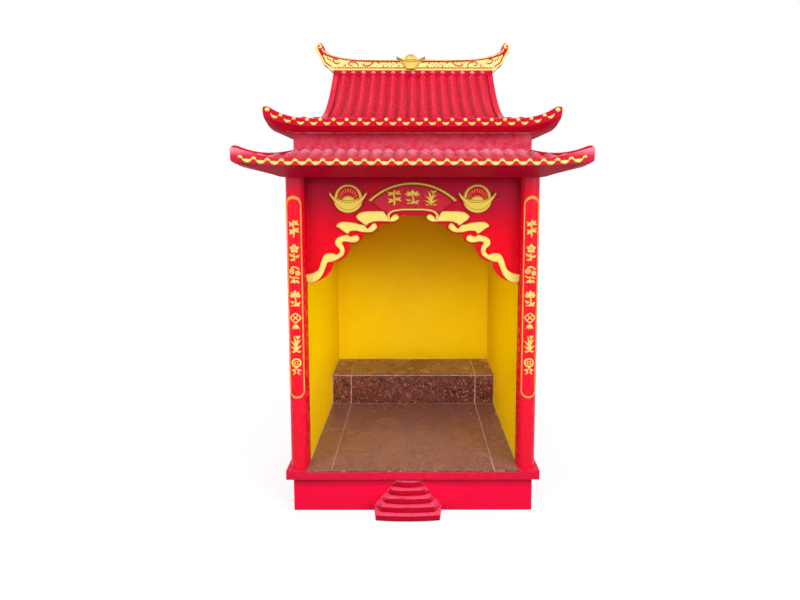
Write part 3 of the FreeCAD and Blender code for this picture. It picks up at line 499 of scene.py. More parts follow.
class Shape:
    # gathers the points and faces of one piece in place, and turns them into a mesh at the end
    def __init__(self, place):
        self.points = []
        self.faces = []
        self.place = place

    def add(self, points, faces):
        start = len(self.points)
        self.points += [self.place(*point) for point in points]
        self.faces += [[start + corner for corner in face] for face in faces]

    def join(self, other):
        start = len(self.points)
        self.points += other.points
        self.faces += [[start + corner for corner in face] for face in other.faces]

    def grid(self, rows, closed=False, tip=None):
        # rows of equally many points joined by four-sided faces; a tip closes the last row
        width = len(rows[0])
        faces = []
        for row in range(len(rows) - 1):
            for column in range(width if closed else width - 1):
                after = (column + 1) % width
                faces.append([row * width + column, row * width + after,
                              (row + 1) * width + after, (row + 1) * width + column])
        points = [point for row in rows for point in row]
        if tip:
            last = len(points) - width
            faces += [[last + i, last + (i + 1) % width, len(points)] for i in range(width)]
            points.append(tip)
        self.add(points, faces)

    def dome(self, outline, centre, height, foot=0, fullness=2.4):
        # a cushion over an outline that is seen whole from its centre
        rows = [[(u, v, foot) for u, v in outline]]
        for ring in (0.97, 0.88, 0.72, 0.5, 0.25):
            rise = foot + height * (1 - ring ** fullness) ** (1 / fullness)
            rows.append([(centre[0] + (u - centre[0]) * ring,
                          centre[1] + (v - centre[1]) * ring, rise) for u, v in outline])
        self.grid(rows, closed=True, tip=(centre[0], centre[1], foot + height))

    def strip(self, path, halfWidth, height, foot=0, across=8, closed=False):
        # a rounded band along a path; its half width and height may change along it
        rows = []
        count = len(path)
        for index, (u, v) in enumerate(path):
            share = index / (count - 1)
            before, after = path[max(0, index - 1)], path[min(count - 1, index + 1)]
            if closed:
                before, after = path[(index - 1) % count], path[(index + 1) % count]
            du, dv = after[0] - before[0], after[1] - before[1]
            length = math.hypot(du, dv) or 1
            half = halfWidth(share) if callable(halfWidth) else halfWidth
            crown = height(share) if callable(height) else height
            row = []
            for step in range(across + 1):
                turn = math.pi * step / across
                side = -math.cos(turn)
                row.append((u - dv / length * half * side, v + du / length * half * side,
                            foot + crown * math.sin(turn) ** 0.8))
            rows.append(row)
        if closed:
            rows.append(rows[0])
        self.grid(rows)

    def boss(self, centre, half, levels, count):
        # an egg-shaped boss from the lowest of its levels, in degrees, up to its top
        (x, z, y), (wide, tall, deep) = centre, half
        self.grid([[(x + wide * math.cos(level) * math.cos(2 * math.pi * i / count),
                     z + tall * math.sin(level),
                     y + deep * math.cos(level) * math.sin(2 * math.pi * i / count))
                    for i in range(count)] for level in map(math.radians, levels)],
                  closed=True, tip=(x, z + tall, y))

    def plate(self, loops, thickness, edge, foot=0, sharp=()):
        # a flat relief inside smooth outlines, with rounded edges; sharp names its corners
        curve = bpy.data.curves.new("outline", "CURVE")
        curve.dimensions = "2D"
        curve.fill_mode = "BOTH"
        curve.resolution_u = 6
        curve.extrude = max(0, thickness / 2 - edge)
        curve.bevel_depth = edge
        curve.bevel_resolution = 3
        curve.offset = -edge
        for loop in loops:
            spline = curve.splines.new("BEZIER")
            spline.use_cyclic_u = True
            spline.bezier_points.add(len(loop) - 1)
            for knot, (u, v) in zip(spline.bezier_points, loop):
                knot.co = (u, v, 0)
                kind = "VECTOR" if (u, v) in sharp else "AUTO"
                knot.handle_left_type = knot.handle_right_type = kind
        carrier = bpy.data.objects.new("outline", curve)
        bpy.context.scene.collection.objects.link(carrier)
        bpy.context.view_layer.update()
        mesh = bpy.data.meshes.new_from_object(carrier.evaluated_get(
            bpy.context.evaluated_depsgraph_get()))
        self.add([(p.co.x, p.co.y, foot + thickness / 2 + p.co.z) for p in mesh.vertices],
                 [list(face.vertices) for face in mesh.polygons])
        bpy.data.objects.remove(carrier)
        bpy.data.curves.remove(curve)
        bpy.data.meshes.remove(mesh)

    def finish(self, name, material, slot, replaced=()):
        mesh = bpy.data.meshes.new(name)
        mesh.from_pydata([[mm(v) for v in point] for point in self.points], [], self.faces)
        standInPlace(mesh, name, material, replaced, reliefCrease)


def standInPlace(mesh, name, material, replaced, crease):
    # welds and shades a mesh, gives it its paint and joins it to the shrine
    welded = bmesh.new()
    welded.from_mesh(mesh)
    bmesh.ops.remove_doubles(welded, verts=welded.verts, dist=mm(0.02))
    bmesh.ops.dissolve_degenerate(welded, edges=welded.edges, dist=mm(0.01))
    bmesh.ops.recalc_face_normals(welded, faces=welded.faces)
    for face in welded.faces:
        face.smooth = True
    for edge in welded.edges:
        bend = edge.calc_face_angle() if len(edge.link_faces) == 2 else 0
        edge.smooth = bend < math.radians(crease)
    welded.to_mesh(mesh)
    welded.free()
    mesh.materials.clear()
    mesh.materials.append(material)
    piece = bpy.data.objects.new(name, mesh)
    bpy.context.scene.collection.objects.link(piece)
    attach(piece, "root")
    if replaced:
        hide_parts(*replaced)


def smoothPath(points, perSpan):
    # a flowing line through the points
    ends = [points[0]] + list(points) + [points[-1]]
    path = []
    for a, b, c, d in zip(ends, ends[1:], ends[2:], ends[3:]):
        for step in range(perSpan):
            t = step / perSpan
            path.append(tuple(0.5 * (2 * q + (r - p) * t + (2 * p - 5 * q + 4 * r - w) * t * t
                                     + (3 * q - p - 3 * r + w) * t ** 3)
                              for p, q, r, w in zip(a, b, c, d)))
    return path + [tuple(points[-1])]


def ring(centre, radius, count=20, tall=None):
    return [(centre[0] + radius * math.cos(2 * math.pi * i / count),
             centre[1] + (tall or radius) * math.sin(2 * math.pi * i / count))
            for i in range(count)]


leafStations = (0.06, 0.2, 0.4, 0.6, 0.8, 0.94)
leafHeart = 0.42                    # how far along it the leaf is highest


def leaf(root, tip, halfWidth, bow):
    # an outline from root to tip, widest two fifths of the way, bent sideways by bow
    du, dv = tip[0] - root[0], tip[1] - root[1]
    length = math.hypot(du, dv)

    def at(along, off):
        return (root[0] + du * along - dv / length * off,
                root[1] + dv * along + du / length * off)
    edges = []
    for sign, stations in ((1, leafStations + (1,)), (-1, leafStations[::-1])):
        for t in stations:
            half = halfWidth * math.sin(math.pi * t ** 0.8) ** 0.8 if t < 1 else 0
            edges.append(at(t, bow * math.sin(math.pi * t) + sign * half))
    return edges, at(leafHeart, bow * math.sin(math.pi * leafHeart))


def spiral(centre, radius, turns, start, direction, inner=0.16, steps=18):
    # from the rim inwards; start and direction say where and which way it sets out
    path = []
    for i in range(int(turns * steps) + 1):
        share = i / (turns * steps)
        reach = radius * (1 - (1 - inner) * share)
        turn = start + direction * 2 * math.pi * turns * share
        path.append((centre[0] + reach * math.cos(turn), centre[1] + reach * math.sin(turn)))
    return path


def mirror(points):
    return [(-point[0], *point[1:]) for point in points]


def onSide(quarterTurns, reach):
    # across, up and out of an upright face that looks -Y at y = -reach, turned about the shrine
    angle = math.pi / 2 * quarterTurns
    cosine, sine = round(math.cos(angle)), round(math.sin(angle))

    def place(across, up, out):
        x, y = across, -reach - out
        return Vector((x * cosine - y * sine, x * sine + y * cosine, up))
    return place


def standing(across, up, inward):
    return Vector((across, inward, up))


sideTurns = {"front": 0, "right": 1, "back": 2, "left": 3}


# cast blocks, with the soft edges that a mould and thick paint leave

steps = ["bottom_step", "second_step", "third_step", "fourth_step", "top_step"]
softBlocks = {
    # node: width of the rounded edge in mm, and its paint
    # the plinth, panel and band paints carry painted shade and painted shadow towards their tops
    "plinth": (4, "plinthPaintedShadow"), "base_slab": (3.5, "slabEnamel"),
    **{step: (4, "stepEnamelLitAndShaded") for step in steps},
    "arch_panel": (3, "panelPaintedShade"), "roof_band": (3, "bandPaintedShade"),
    "fan_plaque": (1.5, "plaqueEnamel"), "left_board": (1.5, "boardEnamel"),
    "right_board": (1.5, "boardEnamel"),
}
edgeMaking = {"segments": 3, "sharpFrom": 35, "flatWithin": 1.5}    # the last two in degrees


def sides(node):
    places = [corner.co.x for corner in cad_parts[node].data.vertices]
    return min(places), max(places)


def flareStep(cast, node):
    # the ends of a step slope out to the ends of the step below it
    low, high = sides(node)
    lowest = min(corner.co.z for corner in cast.verts)
    below = sides(steps[steps.index(node) - 1])
    for corner in cast.verts:
        if corner.co.z < lowest + mm(1):
            if corner.co.x < low + mm(1):
                corner.co.x = below[0]
            elif corner.co.x > high - mm(1):
                corner.co.x = below[1]


def softened(node, width, paint):
    cast = bmesh.new()
    cast.from_mesh(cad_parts[node].data)
    bmesh.ops.remove_doubles(cast, verts=cast.verts, dist=mm(0.05))
    bmesh.ops.dissolve_limit(cast, angle_limit=math.radians(edgeMaking["flatWithin"]),
                             verts=cast.verts, edges=cast.edges)
    if node in steps[1:]:
        flareStep(cast, node)
    sharp = [edge for edge in cast.edges if len(edge.link_faces) == 2
             and edge.calc_face_angle() > math.radians(edgeMaking["sharpFrom"])]
    bmesh.ops.bevel(cast, geom=sharp, offset=mm(width), offset_type="OFFSET",
                    segments=edgeMaking["segments"], profile=0.5, affect="EDGES",
                    clamp_overlap=True)
    mesh = bpy.data.meshes.new(node + "Soft")
    cast.to_mesh(mesh)
    cast.free()
    words = node.split("_")
    name = words[0] + "".join(word.capitalize() for word in words[1:]) + "Cast"
    standInPlace(mesh, name, enamels[paint], (node,), castCrease)


for node, (width, paint) in softBlocks.items():
    softened(node, width, paint)
print("cast blocks have soft edges")


# roof tiles, cast as one wavy sheet on each slope

upperRoof = {
    "name": "upper", "halfWidth": 672.5, "halfDepth": 750, "eave": 1941, "run": 214, "rise": 372,
    "power": 2.37, "slopeRun": 750, "castLift": 46, "tipLift": 55, "tipPower": 2.2,
    "gableLine": 440,
    "reach": {"front": 724, "right": 208, "back": 724, "left": 208},
    "fadeIn": (6, 120), "crest": 15, "fasciaFoot": 1908, "tipDrop": 38, "tipRound": 6,
}
lowerRoof = {
    "name": "lower", "halfWidth": 787.5, "halfDepth": 865, "eave": 1757, "run": 225, "rise": 40,
    "power": 2.0, "slopeRun": 225, "castLift": 54, "tipLift": 54, "tipPower": 1.5, "gableLine": 0,
    "reach": {"front": 228, "right": 228, "back": 228, "left": 228},
    "fadeIn": (4, 170), "crest": 13, "fasciaFoot": 1727, "tipDrop": 20, "tipRound": 17,
}
tileWork = {
    "pitch": 56.7,          # from one roll to the next
    "columnsPerRoll": 12,
    "overlap": 33,          # length of a tile that shows, along the slope
    "lip": 3.6,             # how far its lower edge stands up
    "fullness": 0.62,       # under 1 gives wide rolls and narrow gutters
    "seat": 1.8,            # above the cast slope
    "sunk": 2.0,            # how far the edges dip into it
    "edgeFade": 26,
    "rows": 60,             # more than the longest slope takes
    "profile": ((0.1, 0), (0.16, 1), (0.45, 0.62), (0.8, 0.2)),  # along a tile, share of the lip
}


tipCuts = (0.03, 0.12, 0.27, 0.5, 0.75, 1)      # shares of a tip's round, where it is cut
soffitTilt = -0.25                  # faces that look down more than this are soffit


def tipShare(roof, along):
    return max(0, 1 - along / roof["run"]) ** roof["tipPower"]


def slopeHeight(roof, along, inward):
    lift = roof["tipLift"] * tipShare(roof, along) * max(0, 1 - inward / roof["run"])
    return roof["eave"] + roof["rise"] * (inward / roof["slopeRun"]) ** roof["power"] + lift


def tipRounding(roof, along, inward):
    # how far the blunt corner of an eave is worn down, from the distances in from its two sides
    radius, far = roof["tipRound"], max(along, inward, 0)
    return radius - math.sqrt(radius ** 2 - (radius - far) ** 2) if far < radius else 0


def castSlope(roof, side):
    # the cast slope itself: its square corners worn round, its tips raised, its underside soffit
    node = f"{roof['name']}_{side}_slope"
    cast = bmesh.new()
    cast.from_mesh(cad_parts[node].data)
    for share in tipCuts:
        far = roof["tipRound"] * share
        for axis, reach in ((0, roof["halfWidth"]), (1, roof["halfDepth"])):
            for sign in (-1, 1):
                normal = [0, 0, 0]
                normal[axis] = 1
                bmesh.ops.bisect_plane(cast, geom=cast.verts[:] + cast.edges[:] + cast.faces[:],
                                       plane_co=[mm(sign * (reach - far)) * n for n in normal],
                                       plane_no=normal, dist=mm(0.01))
    corner = slopeHeight(roof, 0, 0)
    foot = roof["fasciaFoot"] + roof["tipDrop"]
    for vertex in cast.verts:
        along = roof["halfWidth"] - abs(vertex.co.x) * 1000
        inward = roof["halfDepth"] - abs(vertex.co.y) * 1000
        worn = tipRounding(roof, along, inward)
        level = (vertex.co.z * 1000 - foot) / (corner - foot)
        if side in ("right", "left"):
            along, inward = inward, along
        raised = (roof["tipLift"] - roof["castLift"]) * tipShare(roof, max(0, along))
        vertex.co.z -= mm(worn) * max(-1, min(1, 2 * level - 1))
        vertex.co.z += mm(raised) * max(0, min(1, 1 - inward / roof["run"]))
    mesh = bpy.data.meshes.new(node + "Worn")
    cast.to_mesh(mesh)
    cast.free()
    # the lower slopes carry a pale painted sheen on their raised wing tips
    paint = enamels["wingPaintedSheen" if roof is lowerRoof else "tileEnamel"]
    standInPlace(mesh, f"{roof['name']}{side.capitalize()}Slope", paint, (node,),
                 castCrease)
    mesh.materials.append(enamels["soffitEnamel"])
    for polygon in mesh.polygons:
        polygon.material_index = 1 if polygon.normal.z < soffitTilt else 0


def slopeStations(roof, reach):
    # distances in from the eave, four to each tile's length along the curved slope, and how far
    # the tile stands up there
    stations = [(0, 0)]
    walked, inward, stride = 0, 0, 0.5
    middle = roof["halfWidth"]      # far from the lifted tips
    wanted = [((row + share) * tileWork["overlap"], lip) for row in range(tileWork["rows"])
              for share, lip in tileWork["profile"]]
    while inward < reach and wanted:
        rise = slopeHeight(roof, middle, inward + stride) - slopeHeight(roof, middle, inward)
        walked += math.hypot(stride, rise)
        inward += stride
        if walked >= wanted[0][0] and inward < reach - 1:
            stations.append((inward, wanted.pop(0)[1]))
    return stations + [(reach, 0)]


def tileSheet(roof, side):
    turns = sideTurns[side]
    half, out = roof["halfWidth"], roof["halfDepth"]
    edgeLine = roof["gableLine"]
    if turns % 2:
        half, out, edgeLine = out, half, 0
    pitch = tileWork["pitch"]
    columns = 2 * round(half / pitch * tileWork["columnsPerRoll"])
    rows = []
    for inward, lip in slopeStations(roof, roof["reach"][side]):
        limit = max(half - inward - 3, edgeLine)
        ends = smoothStep(*roof["fadeIn"], inward)
        row = []
        for column in range(columns + 1):
            x = max(-limit, min(limit, half * (2 * column / columns - 1)))
            wave = (0.5 + 0.5 * math.cos(2 * math.pi * x / pitch)) ** tileWork["fullness"]
            flank = smoothStep(0, tileWork["edgeFade"], limit - abs(x))
            edge = min(smoothStep(0, 8, limit - abs(x)), smoothStep(-1, 10, inward))
            rise = tileWork["seat"] * edge - tileWork["sunk"] * (1 - edge)
            rise += (roof["crest"] + tileWork["lip"] * lip) * wave * flank * ends
            rise -= tipRounding(roof, half - abs(x), inward)
            row.append((x, slopeHeight(roof, half - abs(x), inward) + rise, -inward))
        rows.append(row)
    shape = Shape(onSide(turns, out))
    shape.grid(rows)
    # the lower tile sheets carry the same painted sheen on the wing tips
    paint = enamels["wingPaintedSheen"]
    if roof is upperRoof:
        paint = rollEnamels["Y" if turns % 2 else "X"]
    shape.finish(f"{roof['name']}{side.capitalize()}Tiles", paint, "red_paint")


for roof in (upperRoof, lowerRoof):
    for side in sideTurns:
        castSlope(roof, side)
        tileSheet(roof, side)
print("both roofs are tiled")


# gilt trims on the fascias

upperTrimLook = {
    "pitch": 61.5, "end": 20, "height": 9, "dot": 9, "lastDot": 11, "dotLevel": 0.86,
    "swagLevel": 0.60, "swagHalf": 17, "swagDip": 18, "brimDip": 3, "link": 0, "middle": 0,
}
lowerTrimLook = {
    "pitch": 59.8, "end": 42, "height": 9, "dot": 8.5, "lastDot": 8.5, "dotLevel": 0.76,
    "swagLevel": 0.60, "swagHalf": 22, "swagDip": 19, "brimDip": 0, "link": 5.0, "middle": 0.5,
    "linkHeight": 5,
}
brimStations = (-1, -0.6, -0.2, 0.2, 0.6, 1)
bowlStations = (0.92, 0.7, 0.35, 0, -0.35, -0.7, -0.92)


def eaveTrim(roof, look):
    # dots and swags by turns along the four fascias
    shape = Shape(Vector)
    fascia = roof["eave"] - roof["fasciaFoot"]
    for turns in sideTurns.values():
        half, out = roof["halfWidth"], roof["halfDepth"]
        if turns % 2:
            half, out = out, half
        part = Shape(onSide(turns, out))

        def level(x, share):
            along = half - abs(x)
            if look is upperTrimLook:
                # the upper garland keeps to the top edge, right up to the tips
                return slopeHeight(roof, along, 0) - (1 - share) * fascia
            return roof["fasciaFoot"] + roof["tipDrop"] * tipShare(roof, along) + share * fascia

        def swag(x, t, dip):
            across = x + look["swagHalf"] * t
            return across, level(across, look["swagLevel"]) - dip

        count = round((half - look["end"]) / look["pitch"] - look["middle"]) + look["middle"]
        pitch = (half - look["end"]) / count
        places = [(k - count) * pitch for k in range(int(2 * count) + 1)]
        for x in places:
            dot = look["lastDot"] if x in (places[0], places[-1]) else look["dot"]
            middle = (x, level(x, look["dotLevel"]))
            part.dome(ring(middle, dot, 14), middle, look["height"], fullness=2)
        for x in [x + pitch / 2 for x in places[:-1]]:
            dip = look["swagDip"]
            brim = [swag(x, t, look["brimDip"] * (1 - t * t)) for t in brimStations]
            bowl = [swag(x, t, dip * (1 - t * t) ** 0.6) for t in bowlStations]
            part.dome(brim + bowl, swag(x, 0, 0.6 * dip), look["height"] - 1.5, fullness=2.2)
            for sign in (-1, 1) if look["link"] else ():
                near = x + sign * look["swagHalf"] * 0.86
                far = x + sign * (pitch / 2 - look["dot"] * 0.4)
                path = []
                for t in (0, 0.33, 0.67, 1):
                    across = near + (far - near) * t
                    share = look["swagLevel"] * (1 - t) + look["dotLevel"] * t
                    path.append((across, level(across, share)))
                part.strip(path, look["link"], look["linkHeight"], across=6)
        shape.join(part)
    shape.finish(f"{roof['name']}EaveGarland", golds["garlandGold"], "gold_paint",
                 (f"{roof['name']}_eave_trim",))


eaveTrim(upperRoof, upperTrimLook)
eaveTrim(lowerRoof, lowerTrimLook)
print("the eaves have their gilt garlands")


# ribbons, rims and motifs on the front panel

ribbonLook = {
    "panelFace": 558,
    "thickness": {"upper": 14, "middle": 12.5, "tail": 11},
    "edge": 0.45,               # of the thickness
    "upper": [(-278, 1492), (-272, 1503), (-256, 1514), (-230, 1520), (-195, 1521),
              (-159, 1521), (-146, 1520), (-135, 1508), (-125, 1492), (-114, 1479),
              (-108, 1486), (-103, 1495), (-94, 1502), (-83, 1506), (-71, 1499), (-68, 1488),
              (-76, 1476), (-94, 1468), (-123, 1468), (-159, 1469), (-184, 1468), (-206, 1463),
              (-220, 1456), (-227, 1449), (-236, 1453), (-252, 1465), (-272, 1481)],
    "middle": [(-375, 1447), (-369, 1458), (-353, 1467), (-328, 1468), (-303, 1466),
              (-281, 1462), (-260, 1456), (-240, 1453), (-231, 1443), (-222, 1436),
              (-213, 1442), (-202, 1454), (-190, 1462), (-179, 1454), (-175, 1443),
              (-183, 1429), (-199, 1418), (-224, 1415), (-249, 1416), (-274, 1422),
              (-296, 1422), (-311, 1418), (-316, 1409), (-325, 1410), (-343, 1422),
              (-361, 1435)],
    "tail": [(-323, 1404), (-314, 1399), (-305, 1396), (-295, 1398), (-284, 1403),
              (-273, 1401), (-264, 1389), (-266, 1377), (-279, 1368), (-297, 1365),
              (-318, 1368), (-338, 1369), (-349, 1363), (-343, 1351), (-337, 1332),
              (-339, 1312), (-347, 1298), (-366, 1285), (-385, 1275), (-404, 1269),
              (-421, 1266), (-429, 1249), (-437, 1228), (-447, 1205), (-462, 1186),
              (-481, 1172), (-500, 1166), (-521, 1166), (-529, 1190), (-528, 1206),
              (-519, 1209), (-500, 1213), (-480, 1222), (-465, 1235), (-457, 1258),
              (-449, 1281), (-440, 1299), (-426, 1311), (-413, 1313), (-392, 1312),
              (-379, 1306), (-366, 1312), (-360, 1323), (-362, 1334), (-375, 1346),
              (-382, 1357), (-383, 1370), (-376, 1384), (-361, 1395), (-340, 1401)],
    "foot": [(0, 1528), (-40, 1528), (-66, 1526), (-94, 1521), (-111, 1512), (-120, 1500),
             (-119, 1489), (-112, 1480)],
}


def ribbon(side, turned):
    look = ribbonLook
    shape = Shape(onSide(0, look["panelFace"]))
    for part, thickness in look["thickness"].items():
        shape.plate([turned(look[part])], thickness, look["edge"] * thickness)
    shape.finish(f"{side}ScrollRibbon", golds["reliefGold"], "gold_paint", (f"{side}_ribbon",))


ribbon("left", list)
ribbon("right", mirror)


rimLook = {
    "arcEnd": (206, 1574), "arcTop": 1655, "halfWidth": 7.5, "height": 13, "endRadius": 9,
    "footHalf": 6.5, "footHeight": 12,
    # the crimson painted shadow line drawn over the rim and down the slants at its ends
    "line": 3.4, "lineHeight": 3.2, "slantHeight": 7.4, "sunk": -0.4,
    "slant": [(203, 1572), (190, 1559), (173, 1544), (148, 1522), (123, 1497)],
}


def fanRims():
    look = rimLook
    x, foot = look["arcEnd"]
    rise = look["arcTop"] - foot
    radius = (x * x + rise * rise) / (2 * rise)
    span = math.asin(x / radius)
    arc = [(radius * math.sin(span * i / 24), look["arcTop"] - radius
            + radius * math.cos(span * i / 24)) for i in range(-24, 25)]
    top, low, drawn = (Shape(onSide(0, ribbonLook["panelFace"])) for piece in range(3))
    top.strip(arc, look["halfWidth"], look["height"], across=10)
    for end in (arc[0], arc[-1]):
        top.dome(ring(end, look["endRadius"], 16), end, look["height"] + 1, fullness=2)
    top.finish("fanTopBeading", golds["medallionGold"], "gold_paint", ("fan_top_rim",))
    half = smoothPath(ribbonLook["foot"], 6)
    low.strip(list(reversed(half)) + mirror(half)[1:], look["footHalf"], look["footHeight"],
              across=10)
    low.finish("fanFootBeading", golds["reliefGold"], "gold_paint", ("fan_foot_rim",))
    # crimson strips outside the top rim and along the slants: painted shadow
    outside = [(u * 1.03, v + 8 + 2 * (1 - abs(u) / x)) for u, v in arc]
    drawn.strip(outside, look["line"], look["lineHeight"], look["sunk"], across=5)
    for sign in (-1, 1):
        slant = [(sign * u, v) for u, v in look["slant"]]
        drawn.strip(slant, look["line"] * 0.7, look["slantHeight"], look["sunk"], across=5)
    drawn.finish("fanPaintedShadowLine", plain["crimsonPaintedShadow"], "red_paint")


fanRims()
print("ribbons and rims are laid on the panel")


# generic good-luck motifs for the plaque and the post boards, drawn in a box 50 by 84 mm

motifs = {
    "bamboo": {
        "leaves": [((-2, 24), (-25, 34), 5, 3), ((-2, 22), (-22, 10), 5.5, -3),
                   ((1, 28), (20, 40), 5, -3), ((2, 20), (26, 18), 5.5, 4),
                   ((2, -4), (25, 4), 5, -3), ((2, -8), (24, -20), 6, 3),
                   ((-1, -10), (-24, -4), 5, 3), ((-2, -14), (-20, -30), 6, -3)],
        "strokes": [([(1, 42), (-2, 18), (1, -8), (-1, -42)], 3.2)],
        "pearls": [(-1, 14, 3.4), (0, -16, 3.4)],
    },
    "orchid": {
        "leaves": [((0, -34), (-25, 14), 4.6, -8), ((0, -34), (24, 22), 4.6, 9),
                   ((0, -34), (-10, 40), 4.2, -4), ((2, -36), (26, -10), 4.4, 5),
                   ((-2, -36), (-25, -14), 4.2, -4), ((-4, -38), (-22, -41), 4.2, 1),
                   ((5, -38), (23, -40), 4.2, -1), ((8, 26), (20, 40), 5, 2),
                   ((8, 26), (-2, 40), 4.4, -2)],
        "strokes": [([(1, -34), (5, -4), (8, 24)], 2.4)],
        "pearls": [(8, 27, 4.2), (0, -36, 4.6)],
    },
    "lotus": {
        "leaves": [((0, 6), (0, 41), 7.5, 0), ((-3, 6), (-17, 33), 6.5, 3),
                   ((3, 6), (17, 33), 6.5, -3), ((-5, 5), (-26, 18), 5, 3),
                   ((5, 5), (26, 18), 5, -3), ((-2, -20), (-24, -12), 5.5, 4),
                   ((1, -28), (24, -18), 5.5, -5)],
        "strokes": [([(0, 4), (3, -16), (-2, -41)], 2.8),
                    ([(-20, -38), (0, -34), (20, -39)], 2.8)],
        "pearls": [(0, 5, 5)],
    },
    "cloud": {
        "leaves": [((-3, -20), (0, -42), 5, 0), ((-8, -22), (-23, -38), 5, 4),
                   ((8, -22), (23, -38), 5, -4)],
        "strokes": [(spiral((-12, 17), 13.5, 1.4, 0.5, 1), 3.2),
                    (spiral((13, 8), 12, 1.4, math.pi - 0.5, -1), 3.2),
                    ([(-16, 34), (-4, 41), (10, 37), (22, 26)], 3.4),
                    ([(-24, -4), (-12, -12), (4, -10), (20, -16)], 3.4)],
        "pearls": [(16, 34, 3.6), (-3, -18, 4)],
    },
    "coin": {
        "leaves": [((-5, -14), (-24, -22), 4.5, 3), ((5, -14), (24, -22), 4.5, -3)],
        "strokes": [(ring((0, 17), 19.5, 26) + ring((0, 17), 19.5, 26)[:1], 3.6),
                    ([(-7, 10), (-7, 24)], 1.8), ([(7, 10), (7, 24)], 1.8),
                    ([(-7, 10), (7, 10)], 1.8), ([(-7, 24), (7, 24)], 1.8),
                    ([(-2, -14), (-11, -22), (-6, -31), (-15, -41)], 2.8),
                    ([(2, -14), (11, -22), (6, -31), (15, -41)], 2.8)],
        "pearls": [(0, -9, 5)],
    },
    "knot": {
        "leaves": [((-2, -16), (-4, -42), 3.4, 0), ((2, -16), (4, -42), 3.4, 0),
                   ((-4, -16), (-18, -40), 3.8, 2), ((4, -16), (18, -40), 3.8, -2)],
        "strokes": [([(0, 40), (23, 17), (0, -6), (-23, 17), (0, 40)], 2.8),
                    ([(-11.5, 28.5), (11.5, 5.5)], 2.4), ([(11.5, 28.5), (-11.5, 5.5)], 2.4)],
        "pearls": [(0, -11, 4.6), (0, 17, 3.6), (-24, 17, 3.4), (24, 17, 3.4)],
    },
    "blossom": {
        "leaves": [((4 * math.cos(t), 16 + 4 * math.sin(t)),
                    (24 * math.cos(t), 16 + 24 * math.sin(t)), 7.5, 0)
                   for t in (math.radians(90 + 72 * k) for k in range(5))]
                  + [((-2, -18), (-25, -8), 5.5, 4), ((0, -24), (25, -14), 5.5, -4),
                     ((-1, -34), (-22, -38), 5, 3)],
        "strokes": [([(0, -6), (-2.5, -24), (2, -42)], 2.8)],
        "pearls": [(0, 16, 5)],
    },
}


def drawMotif(shape, name, centre, wide, tall, height, foot, bold):
    def fit(point):
        return centre[0] + point[0] * wide, centre[1] + point[1] * tall
    for root, tip, half, bow in motifs[name]["leaves"]:
        outline, middle = leaf(root, tip, half * bold, bow)
        shape.dome([fit(point) for point in outline], fit(middle), height, foot)
    for path, half in motifs[name]["strokes"]:
        path = smoothPath(path, 4) if len(path) < 8 else path

        def brush(t, half=half):
            # thin where it sets out and ends, full between
            press = math.sin(math.pi * min(0.5, 4 * min(t, 1 - t) + 0.08))
            return half * bold * wide ** 0.6 * (0.35 + 0.65 * press)
        shape.strip([fit(point) for point in path], brush, height, foot, across=6)
    for x, z, radius in motifs[name]["pearls"]:
        shape.dome(ring(fit((x, z)), radius * wide ** 0.6, 12), fit((x, z)), height + 1, foot,
                   fullness=2)


plaqueLook = {
    "face": 564,
    "motifs": [("bamboo", -90, 1586), ("lotus", -1, 1591), ("orchid", 89, 1586)],
    "wide": 1.42, "tall": 0.88, "relief": 5.5, "bold": 1.15, "sunk": -0.4,
}
boardLook = {
    "postX": 572, "postY": -578, "faceRadius": 50.2,
    "wide": 1.06, "tall": 1.0, "relief": 3.0, "bold": 1.2, "sunk": -0.3,
    "order": ["bamboo", "blossom", "cloud", "lotus", "knot", "orchid", "coin"],
    "topLevel": 1438, "pitch": 113,
    "halfWidth": 36.5, "foot": 634, "head": 1550, "crown": 1588, "footDip": 32,
    "line": 3.2, "lineHeight": 2.8, "crownHeight": 2.6, "lineSunk": -0.2,
}


def fillPlaque():
    look = plaqueLook
    shape = Shape(onSide(0, look["face"]))
    for name, x, z in look["motifs"]:
        drawMotif(shape, name, (x, z), look["wide"], look["tall"], look["relief"],
                  look["sunk"], look["bold"])
    shape.finish("fanMotifs", golds["medallionGold"], "gold_paint")


def postFace(sign):
    # across the face of a round post, up it, and out from it
    look = boardLook

    def place(across, up, out):
        reach, turn = look["faceRadius"] + out, across / look["faceRadius"]
        return Vector((sign * look["postX"] + reach * math.sin(turn),
                       look["postY"] - reach * math.cos(turn), up))
    return place


def dressBoard(side, sign):
    look = boardLook
    carving = Shape(postFace(sign))
    for row, name in enumerate(look["order"]):
        drawMotif(carving, name, (0, look["topLevel"] - row * look["pitch"]), look["wide"],
                  look["tall"], look["relief"], look["sunk"], look["bold"])
    carving.finish(f"{side}BoardMotifs", golds["reliefGold"], "gold_paint")
    border = Shape(postFace(sign))
    half, foot, head = look["halfWidth"], look["foot"], look["head"]
    line, high, sunk = look["line"], look["lineHeight"], look["lineSunk"]
    for x in (-half, half):
        border.strip([(x, foot + (head - foot) * i / 30) for i in range(31)], line, high, sunk,
                     across=5)
    turns = [math.pi * i / 28 - math.pi / 2 for i in range(29)]
    crown = [(half * math.sin(t), head + (look["crown"] - head) * math.cos(t)) for t in turns]
    border.strip(crown, lambda t: line + 5.6 * math.sin(math.pi * t) ** 1.4,
                 lambda t: look["crownHeight"] + 1.4 * math.sin(math.pi * t), sunk)
    dip = [(half * math.sin(t), foot - look["footDip"] * math.cos(t)) for t in turns]
    border.strip(dip, lambda t: line + 2.0 * math.sin(math.pi * t), high, sunk)
    border.finish(f"{side}BoardLine", golds["lineGold"], "gold_paint",
                  (f"{side}_board_border",))


fillPlaque()
dressBoard("left", -1)
dressBoard("right", 1)
print("the plaque and the post boards carry their motifs")


# gold ingots in sunburst rings beside the plaque

